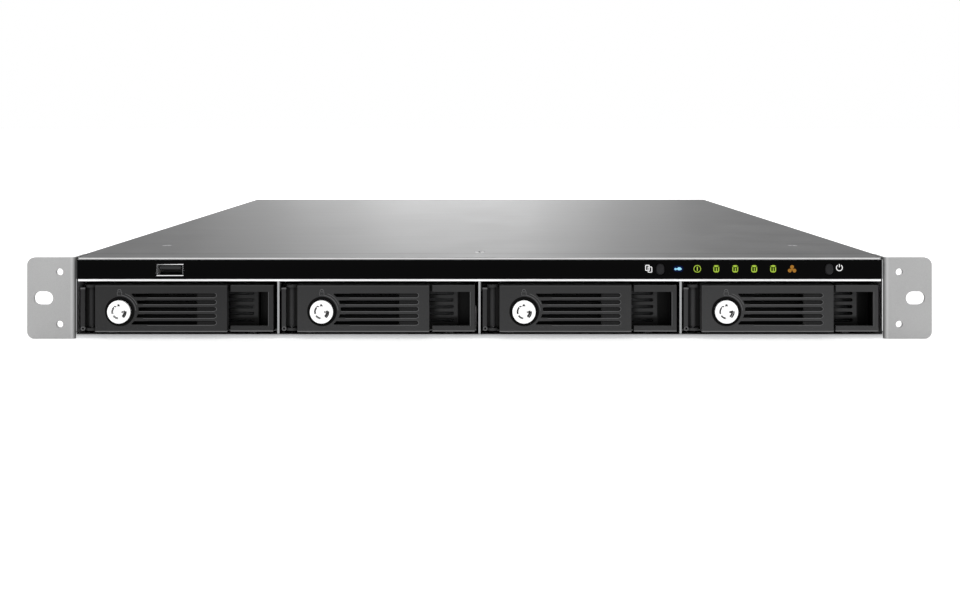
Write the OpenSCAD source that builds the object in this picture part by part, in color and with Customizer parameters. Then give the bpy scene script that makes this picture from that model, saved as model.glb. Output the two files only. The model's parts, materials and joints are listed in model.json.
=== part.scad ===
// Rack-mount storage server, one rack unit high, with four lever trays for 3.5 inch drives.
// Drawn in millimetres: +X to the right seen from the front, +Y to the rear, +Z up.
// Modules draw with y = 0 on the ears' front faces; place() then centres the model in depth.

/* [Body] */
// Width across both rack ears
rack_w = 482.6; // [482.0:0.2:483.4]
// Height of the body and the ears, one rack unit less its gap
body_h = 43.4; // [43.4:0.1:44.0]
// Depth from the ears' front faces to the rear panel's outside
body_d = 499; // [495:1:530]
// Thickness of the folded steel
sheet = 1.0; // [0.8:0.1:1.0]

/* [Ears] */
// Thickness of the ear's steel
ear_t = 2.0; // [1.6:0.1:2.0]
// Length of the ear's side plate along the body
ear_l = 18; // [17:0.5:18]
// Distance between the left and the right rack slot
slot_span = 465.1; // [464:0.1:466]
// Length of the rack slot, end to end
slot_l = 10.2; // [9:0.1:11]
// Height of the rack slot
slot_h = 7.1; // [6.4:0.1:7.4]

/* [Bays] */
// Distance from one bay to the next
bay_pitch = 107.3; // [107.2:0.1:107.3]
// Width of a tray
tray_w = 104; // [103.6:0.1:104]
// Height of the tray's front
front_h = 24.5; // [24.3:0.1:24.7]

/* [Lever] */
// Left edge of the lever's face, from the bay's left divider
lever_u0 = 10.7; // [10.4:0.1:10.9]
// Right edge of the lever's face
lever_u1 = 80.6; // [80:0.1:81]
// Distance between two cooling slots
vent_pitch = 3.65; // [3.4:0.01:3.7]
// Height of a cooling slot
vent_h = 1.87; // [1.4:0.01:2]
// Number of cooling slots
vents = 5; // [3:2:5]

/* [Lock] */
// Diameter of the lock's bright face
lock_d = 12.2; // [11.6:0.1:12.4]
// How far the lock's face stands in front of the ears
lock_proj = 4.4; // [4:0.1:5]

/* [Front panel] */
// Travel of a push button
button_travel = 0.7; // [0.4:0.1:0.8]
// Distance between two lamps
lamp_pitch = 10.1; // [9.8:0.1:10.2]

/* [Hidden] */
$fn = 48;
eps = 0.01;

// What each node is called.
TRAY_PARTS = ["carrier", "front", "drive", "lever", "pin_and_screws", "lock_shell", "lock_core"];

// The whole depth runs from the lock's face to the power inlet's rim.
rear_most = body_d + 1.6;
mid_y = (rear_most - lock_proj) / 2;

// Steel body
wall_out = 2 * bay_pitch + 0.6;    // outer face of the side walls, either side of the middle
wall_in = wall_out - sheet;
lid_z = body_h - sheet;            // underside of the top cover
cover_front = 18.7;
cover_flange = 12.4;
hem_h = 2.6;
hem_l = 3;
runner_h = 2.5;

// Screws, all of one size, with a flat head
screw_head_r = 3.0;
screw_head_t = 0.8;
screw_r = 1.4;
screw_l = 4.5;
screw_hole_r = 1.5;
cover_screw_front = [[0, 28.6], [-184, 63], [184, 63]];
cover_screw_rear = [for (x = [-110, 40, 190]) [x, body_d - 9]];
ear_screw_y = 10.5;
ear_screw_zs = [8, body_h / 2, body_h - 8];

// Ears
bend_r = 1 + ear_t;
ear_corner = 4;
small_hole_r = 1.85;
small_span = 447.8;
small_rise = 27.9;
ear_mid_z = body_h / 2;

// Drive shelf and bays
shelf_z = 30.7;
shelf_t = 1.2;
bay_d = 168;
divider_t = 1.4;
tray_u0 = 1.65;
tray_u1 = tray_u0 + tray_w;
front_u1 = tray_u1 - 0.8;          // the front is a little narrower than its carrier
tray_z0 = 2.75;
tray_sheet = 0.8;
front_z0 = 4.2;
front_z1 = front_z0 + front_h;
drive_y = 17;
drive_l = 147;
drive_w = 101.6;
drive_h = 26.1;
drive_z = tray_z0 + tray_sheet + 0.1;
drive_screw_at = [for (s = [-1, 1], y = [41.3, 85.7]) [tray_u0 + tray_w / 2 + s * 47.6, drive_y + y]];

// Lever: the pin's axis, and the face's levels in depth
pin_u = 7.0;
pin_y = 3.5;
pin_r = 1.0;
barrel_r = 1.8;
lever_z0 = front_z0;
lever_z1 = front_z1 + 0.4;
face_y = -3;
face_t = 2;
skirt_y = 4;
skirt_t = 1.4;
knuckle_z0 = front_z0 + 2.0;
knuckle_z1 = front_z1 - 1.6;
vent_z = (lever_z0 + lever_z1) / 2 - 0.3;
vent_end = 64.8;
groove_end = 75;
groove_t = 0.6;
lock_u = 23.6;
lock_z = 15.0;
lock_well_r = 7.4;
vent_clear_r = 10;

// Tray front
grille_y = 5.5;
grille_t = 1.8;
wall_t = 1.4;
block_y1 = 16;
frame_u0 = 82.2;
frame_y = -1.6;
frame_bar = 3.0;
claw_u = 1.75;

// Lock
core_r = 3.45;
post_r = 2.45;
bore_r = 3.5;

// Lamps, buttons and the front socket on the bezel
bezel_y = -0.3;
bezel_t = 3;
bezel_z0 = shelf_z + shelf_t + 0.1;
bezel_z1 = lid_z - 0.4;
bezel_half = wall_out - 0.9;
lamp_z = 37.4;
lamp_x0 = 106.0;
lamps = 7;
button_z = 37.1;
copy_x = 96.4;
power_x = 186.5;
button_r = 2.2;
button_rise = 0.8;
usb_x = -165;
usb_z = 36.8;
usb_w = 14.5;
usb_h = 6.5;

// Inside
plane_y = 171;
board_t = 1.6;
fan_xs = [-130, 0, 130];
fan_y = 182;
fan_w = 40;
fan_d = 28;
fan_z = sheet + 0.2 + fan_w / 2;
psu_x0 = -212.4;
psu_w = 81.5;
psu_l = 160;
psu_h = 40;
psu_z0 = sheet + 0.2;
psu_y1 = body_d - sheet - 0.1;
psu_fan_x = psu_x0 + 57;
psu_fan_w = 38;
psu_fan_l = 20;
inlet_x = psu_x0 + 18.5;
inlet_z = 20.5;
main_x0 = -120;
main_x1 = 205;
main_y0 = 262;
main_y1 = body_d - 9;
main_z = 6;
port_z = main_z + board_t;
lan_xs = [64, 81];
usb_xs = [22, 41];
esata_x = 104;
reset_x = -4;
reset_z = port_z + 5;
reset_travel = 0.5;
lip_l = 14;

function bay_x(n) = (n - 3) * bay_pitch;

// Moves a model drawn from the ears' plane to the part's own frame.
module place() {
    translate([0, -mid_y, 0]) children();
}

module at_bay(n) {
    translate([bay_x(n), 0, 0]) children();
}

// A round bar along Y, from y0 to y1.
module bar_y(r, x, z, y0, y1) {
    translate([x, y0, z]) rotate([-90, 0, 0]) cylinder(r = r, h = y1 - y0);
}

// A box between two corners.
module block(a, b) {
    translate(a) cube(b - a);
}

// A rectangle with round corners, centred.
module round_rect(w, h, r) {
    square([w - 2 * r, h], center = true);
    square([w, h - 2 * r], center = true);
    for (x = [-1, 1], y = [-1, 1])
        translate([x * (w / 2 - r), y * (h / 2 - r)]) circle(r = r);
}

// A solid of an XZ outline, from y0 to y1.
module along_y(y0, y1) {
    translate([0, y1, 0]) rotate([90, 0, 0]) linear_extrude(height = y1 - y0) children();
}

// An upright stadium along Y: a button or the hole that it moves in.
module oval_bar(x, z, r, rise, y0, y1) {
    bar_y(r, x, z - rise, y0, y1);
    bar_y(r, x, z + rise, y0, y1);
    block([x - r, y0, z - rise], [x + r, y1, z + rise]);
}

// A flat screw head with a cross recess, its face on z = 0 and its shank below.
module flat_screw(l = screw_l) {
    difference() {
        union() {
            translate([0, 0, -screw_head_t]) cylinder(r = screw_head_r, h = screw_head_t);
            translate([0, 0, -l]) cylinder(r = screw_r, h = l - screw_head_t / 2);
        }
        for (a = [0, 90])
            rotate([0, 0, a]) translate([-1.8, -0.4, -0.6]) cube([3.6, 0.8, 1]);
    }
}

// ---- Steel body ----

module chassis_base() {
    color("silver")
    difference() {
        union() {
            block([-wall_out, 0.2, 0], [wall_out, body_d - sheet, sheet]);
            for (s = [-1, 1]) {
                x = s > 0 ? wall_in : -wall_out;
                block([x, 0.2, 0], [x + sheet, body_d - sheet, lid_z - 0.1]);
            }
            // the folded front edge
            block([-wall_out, 0.2, 0], [wall_out, 0.2 + hem_l, hem_h]);
            // runners that the trays slide on
            for (n = [1 : 4], u = [14, 89])
                block([bay_x(n) + u, 10, 0.5], [bay_x(n) + u + 4, 160, runner_h]);
            // pressed-in posts under the main board
            for (x = [main_x0 + 8, 40, main_x1 - 8], y = [main_y0 + 8, main_y1 - 14])
                translate([x, y, 0.5]) cylinder(r = 2.6, h = main_z - 0.5);
        }
        // rail screws on the sides
        for (s = [-1, 1], y = [90, 390])
            translate([s * wall_in - 2 * sheet, y, 16]) rotate([0, 90, 0]) cylinder(r = 2.1, h = 4 * sheet);
        for (s = [-1, 1], z = ear_screw_zs)
            translate([s * wall_in - 2 * sheet, ear_screw_y, z])
                rotate([0, 90, 0]) cylinder(r = screw_hole_r, h = 4 * sheet);
    }
}

// One field of round air holes, in a staggered grid.
module air_holes(x0, columns, z0, rows, pitch, r, y0, y1) {
    for (i = [0 : columns - 1], j = [0 : rows - 1])
        bar_y(r, x0 + (i + (j % 2) / 2) * pitch, z0 + j * pitch * 0.87, y0, y1);
}

module rear_panel() {
    color("silver")
    difference() {
        union() {
            block([-wall_out, body_d - sheet, 0], [wall_out, body_d, lid_z - 0.1]);
            // the folded lip that the cover is screwed to
            block([-wall_in + 0.1, body_d - lip_l, lid_z - 0.1 - sheet], [wall_in - 0.1, body_d, lid_z - 0.1]);
        }
        for (p = cover_screw_rear)
            translate([p[0], p[1], lid_z - 3]) cylinder(r = screw_hole_r, h = 4);
        // the power supply's end, with its corners left on the panel for the screws
        block([psu_x0 + 3, body_d - 2, psu_z0 + 2.4], [psu_x0 + psu_w - 3, body_d + 1, psu_z0 + psu_h - 3]);
        for (x = lan_xs)
            block([x - 8.1, body_d - 2, port_z + 0.1], [x + 8.1, body_d + 1, port_z + 13.9]);
        for (x = usb_xs)
            block([x - 7.6, body_d - 2, port_z + 0.1], [x + 7.6, body_d + 1, port_z + 15.9]);
        block([esata_x - 7.2, body_d - 2, port_z + 0.1], [esata_x + 7.2, body_d + 1, port_z + 13.1]);
        // pin hole over the reset button
        bar_y(1.1, reset_x, reset_z, body_d - 2, body_d + 1);
        air_holes(-118, 20, 12, 8, 5, 1.7, body_d - 2, body_d + 1);
        air_holes(122, 17, 12, 8, 5, 1.7, body_d - 2, body_d + 1);
    }
}

module top_cover() {
    color("gray")
    difference() {
        union() {
            block([-wall_out - sheet, cover_front, lid_z], [wall_out + sheet, body_d, body_h]);
            for (s = [-1, 1]) {
                x = s > 0 ? wall_out : -wall_out - sheet;
                block([x, cover_front, body_h - cover_flange], [x + sheet, body_d, body_h]);
            }
        }
        for (p = concat(cover_screw_front, cover_screw_rear))
            translate([p[0], p[1], lid_z - 1]) cylinder(r = screw_head_r + 0.05, h = 3);
    }
}

// Six screws through the cover and three through each ear.
module case_screws() {
    color("gainsboro") {
        for (p = concat(cover_screw_front, cover_screw_rear))
            translate([p[0], p[1], body_h - 0.15]) flat_screw();
        for (s = [-1, 1], z = ear_screw_zs)
            translate([s * (wall_out + ear_t + 1), ear_screw_y, z]) rotate([0, s * 90, 0]) flat_screw();
    }
}

// The fixed strip over the bezel, with a step at its rear that the cover lies on.
module front_top_rail() {
    color("gray")
    difference() {
        union() {
            block([-wall_in + 0.1, 0.3, lid_z], [wall_in - 0.1, cover_front - 0.2, body_h]);
            block([-wall_in + 0.1, 0.3, lid_z - 0.3], [wall_in - 0.1, 1.6, lid_z + 0.1]);
            block([-wall_in + 0.1, 14, lid_z - sheet], [wall_in - 0.1, 36, lid_z]);
            block([-wall_in + 0.1, 4.2, lid_z - 1.4], [wall_in - 0.1, 5.2, lid_z + 0.1]);
        }
        translate([cover_screw_front[0][0], cover_screw_front[0][1], lid_z - 3])
            cylinder(r = screw_hole_r, h = 4);
    }
}

module drive_shelf() {
    color("silver")
    difference() {
        union() {
            block([-wall_in + 0.1, 0, shelf_z], [wall_in - 0.1, bay_d, shelf_z + shelf_t]);
            // side flanges, welded to the side walls
            for (s = [-1, 1]) {
                x = s > 0 ? wall_in - 1.1 : -wall_in + 0.1;
                block([x, 12, shelf_z], [x + 1, bay_d, shelf_z + 9]);
            }
            // posts that the cover is screwed to
            for (i = [1, 2])
                translate([cover_screw_front[i][0], cover_screw_front[i][1], shelf_z])
                    cylinder(r = 3.2, h = lid_z - 0.1 - shelf_z);
        }
        for (i = [1, 2])
            translate([cover_screw_front[i][0], cover_screw_front[i][1], shelf_z - 1])
                cylinder(r = screw_hole_r, h = 20);
        for (n = [1 : 4], k = [0, 1])
            translate([bay_x(n) + bay_pitch / 2, 90 + 38 * k, shelf_z - 1])
                linear_extrude(height = 4) round_rect(60, 18, 4);
    }
}

module bay_dividers() {
    color("silver")
    for (n = [2 : 4])
        at_bay(n) {
            block([-divider_t / 2, 0.4, hem_h], [divider_t / 2, bay_d - 1, shelf_z]);
            block([-divider_t / 2, 0.2 + hem_l, sheet], [divider_t / 2, bay_d - 1, hem_h + eps]);
            block([-5, 3.4, sheet], [5, bay_d - 4, sheet + 0.7]);
        }
}

// ---- Ears ----

// The right ear's cross-section seen from above: flange, bend and side plate.
module ear_section() {
    translate([wall_out + bend_r, 0]) square([rack_w / 2 - wall_out - bend_r, ear_t]);
    translate([wall_out, bend_r]) square([ear_t, ear_l - bend_r]);
    intersection() {
        difference() {
            translate([wall_out + bend_r, bend_r]) circle(r = bend_r);
            translate([wall_out + bend_r, bend_r]) circle(r = bend_r - ear_t);
        }
        translate([wall_out, 0]) square(bend_r);
    }
}

module ear() {
    slot_x = slot_span / 2;
    small_x = small_span / 2;
    w = rack_w / 2 - wall_out;
    difference() {
        intersection() {
            linear_extrude(height = body_h) ear_section();
            // round outer corners
            along_y(-1, ear_l + 1)
                union() {
                    translate([wall_out + w / 2, body_h / 2]) round_rect(w, body_h, ear_corner);
                    translate([wall_out, 0]) square([w / 2, body_h]);
                }
        }
        for (s = [-1, 1])
            bar_y(slot_h / 2, slot_x + s * (slot_l - slot_h) / 2, ear_mid_z, -1, ear_t + 1);
        block([slot_x - (slot_l - slot_h) / 2, -1, ear_mid_z - slot_h / 2],
              [slot_x + (slot_l - slot_h) / 2, ear_t + 1, ear_mid_z + slot_h / 2]);
        for (s = [-1, 1])
            bar_y(small_hole_r, small_x, ear_mid_z + s * small_rise / 2, -1, ear_t + 1);
        for (z = ear_screw_zs)
            translate([wall_out - 1, ear_screw_y, z]) rotate([0, 90, 0]) cylinder(r = screw_hole_r, h = 6);
    }
}

module ear_right() {
    color("lightgray") ear();
}

module ear_left() {
    color("lightgray") mirror([1, 0, 0]) ear();
}

// ---- Front panel ----

module lamp_places() {
    for (i = [0 : lamps - 1])
        translate([lamp_x0 + i * lamp_pitch, 0, lamp_z]) children();
}

module front_bezel() {
    color("black")
    difference() {
        block([-bezel_half, bezel_y, bezel_z0], [bezel_half, bezel_y + bezel_t, bezel_z1]);
        // its ends are thin, in front of the side walls
        for (s = [-1, 1])
            translate([s * (wall_in - 0.5 + 5), 5 + 0.1, 37]) cube([10, 10, 20], center = true);
        block([usb_x - usb_w / 2 - 0.15, -2, usb_z - usb_h / 2 - 0.15],
              [usb_x + usb_w / 2 + 0.15, 5, usb_z + usb_h / 2 + 0.15]);
        for (x = [copy_x, power_x])
            oval_bar(x, button_z, button_r + 0.15, button_rise, -2, 5);
        // blind holes from behind, one for each lamp
        lamp_places() bar_y(1.8, 0, 0, bezel_y + 0.7, 5);
    }
}

module light_pipes() {
    color("whitesmoke") lamp_places() bar_y(1.65, 0, 0, bezel_y + 0.8, 7);
}

module push_button(x) {
    color("dimgray") {
        oval_bar(x, button_z, button_r, button_rise, bezel_y - 0.6, 3.1);
        oval_bar(x, button_z, button_r + 0.6, button_rise, 3.0, 3.8);
        bar_y(1.2, x, button_z, 3.7, 5.9 - button_travel);
    }
}

module front_board() {
    color("darkgreen") {
        block([-150, 9, 33.2], [205, 9 + board_t, 41]);
        lamp_places() block([-1.2, 7.3, -1.2], [1.2, 9.1, 1.2]);
        for (x = [copy_x, power_x]) {
            block([x - 2.5, 6.4, button_z - 2.5], [x + 2.5, 9.1, button_z + 2.5]);
            bar_y(1, x, button_z, 6.0, 6.5);
        }
        block([-120, 10.5, 34], [-96, 15, 40]);
        block([usb_x - 11, 13.2, 33.2], [usb_x + 11, 13.2 + board_t, 41]);
    }
}

module front_usb_port() {
    color("silver")
    difference() {
        block([usb_x - usb_w / 2, bezel_y - 0.2, usb_z - usb_h / 2], [usb_x + usb_w / 2, 13, usb_z + usb_h / 2]);
        block([usb_x - usb_w / 2 + 0.5, bezel_y - 1, usb_z - usb_h / 2 + 0.5],
              [usb_x + usb_w / 2 - 0.5, 11, usb_z + usb_h / 2 - 0.5]);
    }
    color("black")
    block([usb_x - 5.6, 1.0, usb_z + 0.2], [usb_x + 5.6, 11.1, usb_z + 2.0]);
}

// ---- Trays, drawn with x = u from the bay's left divider ----

module tray_carrier() {
    color("silver")
    difference() {
        union() {
            block([tray_u0, 9, tray_z0], [tray_u1, drive_y + drive_l, tray_z0 + tray_sheet]);
            for (u = [tray_u0, tray_u1 - tray_sheet])
                block([u, block_y1 + 0.4, tray_z0], [u + tray_sheet, drive_y + drive_l, 15]);
        }
        translate([bay_pitch / 2, 90, 1]) linear_extrude(height = 3) round_rect(64, 86, 8);
        for (p = drive_screw_at)
            translate([p[0], p[1], 1]) cylinder(r = screw_head_r + 0.1, h = 3);
        for (u = [tray_u0 - 1, tray_u1 - 1], k = [0 : 2])
            block([u, 40 + 40 * k, 8], [u + 2, 62 + 40 * k, 12]);
    }
}

module tray_drive() {
    u0 = tray_u0 + (tray_w - drive_w) / 2;
    color("darkgray") {
        difference() {
            union() {
                block([u0, drive_y, drive_z], [u0 + drive_w, drive_y + drive_l, drive_z + drive_h - 1.5]);
                translate([u0 + drive_w / 2, drive_y + drive_l / 2, drive_z + drive_h - 1.6])
                    linear_extrude(height = 1.6) round_rect(drive_w - 3, drive_l - 3, 7);
            }
            // the plug's recess at the rear, and the bottom screw holes
            block([u0 + 14, drive_y + drive_l - 8, drive_z - 1], [u0 + 56, drive_y + drive_l + 1, drive_z + 6]);
            for (p = drive_screw_at)
                translate([p[0], p[1], drive_z - 1]) cylinder(r = screw_hole_r, h = 5);
        }
    }
}

// Cooling slots of one plate: from u0, outside a circle round the lock, to u1.
module vent_slots(u0, u1, r, y0, y1) {
    difference() {
        for (k = [0 : vents - 1]) {
            z = vent_z + (k - (vents - 1) / 2) * vent_pitch;
            block([u0, y0, z - vent_h / 2], [u1 - vent_h / 2, y1, z + vent_h / 2]);
            bar_y(vent_h / 2, u1 - vent_h / 2, z, y0, y1);
        }
        if (r > 0) bar_y(r, lock_u, vent_z, y0 - 1, y1 + 1);
    }
}

module tray_front() {
    color("black")
    difference() {
        union() {
            // grille behind the lever, with the lock's opening
            block([12, grille_y, front_z0], [96, grille_y + grille_t, front_z1]);
            // top and bottom walls
            for (z = [front_z0, front_z1 - wall_t]) {
                block([tray_u0, grille_y, z], [front_u1, block_y1, z + wall_t]);
                block([frame_u0, frame_y, z], [front_u1, grille_y + 1, z + wall_t]);
                // lugs that hold the hinge pin
                block([pin_u - 3.2, pin_y, z], [pin_u + 3.2, grille_y + 1, z + wall_t]);
                translate([pin_u, pin_y, z]) cylinder(r = 3.2, h = wall_t);
            }
            // side walls
            block([tray_u0, 9.5, front_z0], [tray_u0 + wall_t, block_y1, front_z1]);
            block([front_u1 - wall_t, frame_y, front_z0], [front_u1, block_y1, front_z1]);
            // back of the claw's pocket
            block([tray_u0, 9.5, front_z0], [13.4, 11, front_z1]);
            block([12, grille_y, front_z0], [13.4, 11, front_z1]);
            // frame of the finger pocket, and its deeper right end
            block([frame_u0, frame_y, front_z0], [front_u1, frame_y + 2, front_z1]);
            block([94.6, grille_y, front_z0], [96, 12.4, front_z1]);
            block([94.6, 11, front_z0], [front_u1, 12.4, front_z1]);
            // feet on the carrier's floor
            for (u = [20, 80])
                block([u, 9.5, tray_z0 + tray_sheet], [u + 10, 15, front_z0 + 0.5]);
        }
        // the pocket's mouth runs out to the lever's edge
        block([frame_u0 - 1, frame_y - 1, front_z0 + frame_bar],
              [front_u1 - frame_bar + 0.4, frame_y + 3, front_z1 - frame_bar - 0.4]);
        block([15.5, grille_y - 1, front_z0 + 1.6], [30.3, grille_y + grille_t + 1, front_z1 - 1.6]);
        vent_slots(34, 93.5, 0, grille_y - 1, grille_y + grille_t + 1);
        translate([pin_u, pin_y, 0]) cylinder(r = pin_r + 0.02, h = 40);
    }
}

// The lever's hinge pin, and the four screws that hold the drive from below.
module tray_pin_and_screws() {
    color("gainsboro") {
        translate([pin_u, pin_y, front_z0 + 0.1]) cylinder(r = pin_r, h = front_h - 0.2);
        for (p = drive_screw_at)
            translate([p[0], p[1], tray_z0]) rotate([180, 0, 0]) flat_screw(3.5);
    }
}

module tray_lever() {
    color([0.13, 0.13, 0.14])
    difference() {
        union() {
            block([lever_u0, face_y, lever_z0], [lever_u1, face_y + face_t, lever_z1]);
            for (z = [lever_z0, lever_z1 - skirt_t])
                block([lever_u0, face_y, z], [lever_u1, skirt_y, z + skirt_t]);
            block([lever_u0, face_y, lever_z0], [lever_u0 + 1.6, skirt_y, lever_z1]);
            block([lever_u1 - 1.6, face_y, lever_z0], [lever_u1, 2, lever_z1]);
            // web, barrel and claw
            block([pin_u, 2.7, knuckle_z0], [lever_u0 + 1.6, 4.3, knuckle_z1]);
            translate([pin_u, pin_y, knuckle_z0]) cylinder(r = barrel_r, h = knuckle_z1 - knuckle_z0);
            block([claw_u, 2.7, knuckle_z0], [pin_u, 4.3, knuckle_z1]);
            block([claw_u, 0.5, knuckle_z0], [claw_u + 2.2, 4.3, knuckle_z1]);
        }
        vent_slots(30, vent_end, vent_clear_r, face_y - 1, face_y + face_t + 1);
        vent_slots(vent_end - 3, groove_end, 0, face_y - 1, face_y + groove_t);
        bar_y(lock_well_r, lock_u, lock_z, face_y - 1, face_y + 1.2);
        bar_y(lock_d / 2 + 0.05, lock_u, lock_z, face_y - 1, face_y + face_t + 1);
        translate([pin_u, pin_y, 0]) cylinder(r = pin_r + 0.05, h = 40);
        // the lugs' and skirts' clearance at the barrel's ends
        for (z = [lever_z0 - 1, knuckle_z1])
            translate([pin_u, pin_y, z]) cylinder(r = 3.5, h = knuckle_z0 - lever_z0 + 1);
    }
}

module tray_lock_shell() {
    color("whitesmoke")
    difference() {
        union() {
            bar_y(lock_d / 2, lock_u, lock_z, -lock_proj, face_y + 1.2);
            bar_y(lock_d / 2 - 0.1, lock_u, lock_z, face_y + 1.1, 7.5);
            // the clip behind the face
            bar_y(7.2, lock_u, lock_z, face_y + face_t, face_y + face_t + 1.4);
        }
        bar_y(bore_r, lock_u, lock_z, -lock_proj - 1, 8);
    }
}

module tray_lock_core() {
    color("gainsboro") {
        difference() {
            union() {
                bar_y(post_r, lock_u, lock_z, -lock_proj + 0.2, 0);
                bar_y(core_r, lock_u, lock_z, -0.8, 8.6);
            }
            // the key's notch, at three o'clock when unlocked
            block([lock_u + post_r - 1.1, -lock_proj - 1, lock_z - 0.6], [lock_u + post_r + 1, -1.4, lock_z + 0.6]);
        }
        // the cam, hanging down when unlocked
        bar_y(2.5, lock_u, lock_z, 8.5, 10);
        block([lock_u - 2.5, 8.5, lock_z - 8.5], [lock_u + 2.5, 10, lock_z]);
    }
}

// ---- Inside ----

module backplane() {
    color("darkgreen")
    difference() {
        block([-205, plane_y, 2], [205, plane_y + board_t, 41]);
        for (n = [1 : 4]) {
            translate([bay_x(n) + 81, plane_y - 1, 17]) rotate([-90, 0, 0])
                linear_extrude(height = 4) round_rect(40, 20, 3);
            translate([bay_x(n) + bay_pitch / 2, plane_y - 1, 36.5]) rotate([-90, 0, 0])
                linear_extrude(height = 4) round_rect(80, 5, 2);
        }
    }
    // drive sockets
    color("black")
    for (n = [1 : 4])
        at_bay(n) block([18, drive_y + drive_l - 6, 4], [56, plane_y, 8.2]);
}

module fan_frame(x, z, y0, d, w) {
    r = w / 2 - 1.2;
    translate([x, y0, z]) {
        difference() {
            block([-w / 2, 0, -w / 2], [w / 2, d, w / 2]);
            bar_y(r, 0, 0, -1, d + 1);
        }
        bar_y(8.6, 0, 0, d - 4, d);
        for (a = [45, 135])
            rotate([0, a, 0]) block([-r - 0.4, d - 3, -1.1], [r + 0.4, d, 1.1]);
    }
}

module fan_frames() {
    color("dimgray") {
        for (x = fan_xs) fan_frame(x, fan_z, fan_y, fan_d, fan_w);
        fan_frame(psu_fan_x, fan_z, psu_y1 - 1.2 - psu_fan_l, psu_fan_l, psu_fan_w);
    }
}

// A rotor: a hub with pitched blades, trimmed to the frame's bore.
module rotor(x, z, y0, l, r) {
    blades = 7;
    color("darkslategray")
    translate([x, y0, z]) {
        intersection() {
            bar_y(r, 0, 0, 0, l);
            for (k = [0 : blades - 1])
                rotate([0, k * 360 / blades, 0])
                    translate([0, l / 2, 0]) rotate([0, 0, 35])
                        block([-0.6, -l, 7], [0.6, l, 20]);
        }
        bar_y(8.5, 0, 0, 0, l);
    }
}

module mainboard() {
    color("darkgreen") {
        difference() {
            block([main_x0, main_y0, main_z], [main_x1, main_y1, port_z]);
            for (x = [main_x0 + 8, 40, main_x1 - 8], y = [main_y0 + 8, main_y1 - 14])
                translate([x, y, main_z - 1]) cylinder(r = 1.6, h = 4);
        }
        // processor, bridge chip, memory socket, coils and plug headers
        block([-42, 348, port_z - 0.1], [-2, 388, port_z + 2]);
        block([70, 392, port_z - 0.1], [100, 422, port_z + 1.6]);
        block([40, 316, port_z - 0.1], [112, 322, port_z + 4]);
        for (k = [0 : 3]) block([-96 + 12 * k, 300, port_z - 0.1], [-87 + 12 * k, 309, port_z + 7]);
        block([-116, 286, port_z - 0.1], [-98, 296, port_z + 12]);
        difference() {
            block([reset_x - 3, main_y1 - 7, port_z - 0.1], [reset_x + 3, main_y1 + 2, port_z + 8]);
            bar_y(1.5, reset_x, reset_z, main_y1 - 1.1 - reset_travel, main_y1 + 3);
        }
        for (k = [0 : 5]) translate([150 + 9 * k, 300, port_z - 0.1]) cylinder(r = 3.2, h = 11);
    }
}

module reset_button() {
    color("black") bar_y(1.42, reset_x, reset_z, main_y1 - 1, main_y1 + 6);
}

module heatsink() {
    fins = 15;
    color("silver")
    translate([-52, 338, port_z + 2]) {
        cube([60, 60, 3]);
        for (k = [0 : fins - 1])
            translate([k * 58.6 / (fins - 1), 0, 2.9]) cube([1.4, 60, 22]);
    }
}

module memory_module() {
    color("darkgreen") {
        block([42.2, 322.2, port_z + 2.2], [109.8, 352, port_z + 3.3]);
        for (k = [0 : 3])
            block([46 + 16 * k, 330, port_z + 3.2], [57 + 16 * k, 342, port_z + 4.4]);
    }
}

module lan_ports() {
    color("silver")
    for (x = lan_xs)
        difference() {
            block([x - 7.9, body_d - 21, port_z], [x + 7.9, body_d + 0.6, port_z + 13.5]);
            block([x - 6, body_d - 12, port_z + 2.4], [x + 6, body_d + 2, port_z + 9.6]);
            block([x - 3, body_d - 8, port_z + 9], [x + 3, body_d + 2, port_z + 11.6]);
        }
}

module rear_usb_ports() {
    color("silver")
    for (x = usb_xs)
        difference() {
            block([x - 7.3, body_d - 17, port_z], [x + 7.3, body_d + 0.6, port_z + 15.6]);
            for (z = [1.2, 9])
                difference() {
                    block([x - 6.2, body_d - 10, port_z + z], [x + 6.2, body_d + 2, port_z + z + 5.4]);
                    block([x - 5.6, body_d - 11, port_z + z + 3.2], [x + 5.6, body_d - 0.8, port_z + z + 5]);
                }
        }
}

module esata_ports() {
    color("silver")
    difference() {
        block([esata_x - 6.9, body_d - 17, port_z], [esata_x + 6.9, body_d + 0.6, port_z + 12.8]);
        for (z = [1, 7.2])
            difference() {
                block([esata_x - 5.6, body_d - 8, port_z + z], [esata_x + 5.6, body_d + 2, port_z + z + 4.4]);
                block([esata_x - 4.4, body_d - 9, port_z + z + 1.4], [esata_x + 4.4, body_d - 0.8, port_z + z + 2.6]);
            }
    }
}

module psu_case() {
    t = 0.8;
    y0 = psu_y1 - psu_l;
    color("lightgray")
    difference() {
        block([psu_x0, y0, psu_z0], [psu_x0 + psu_w, psu_y1, psu_z0 + psu_h]);
        block([psu_x0 + t, y0 + t, psu_z0 + t], [psu_x0 + psu_w - t, psu_y1 - t, psu_z0 + psu_h - t]);
        bar_y(psu_fan_w / 2 - 1.4, psu_fan_x, fan_z, psu_y1 - 3, psu_y1 + 1);
        block([inlet_x - 13.8, psu_y1 - 3, inlet_z - 10.2], [inlet_x + 13.8, psu_y1 + 1, inlet_z + 10.2]);
        // the harness's exit and the air slots at the inner end
        block([psu_x0 + 24, y0 - 1, 14], [psu_x0 + 62, y0 + 2, 27]);
        for (k = [0 : 8])
            block([psu_x0 + 6 + 8 * k, y0 - 1, 31], [psu_x0 + 11 + 8 * k, y0 + 2, 38]);
    }
}

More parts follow.
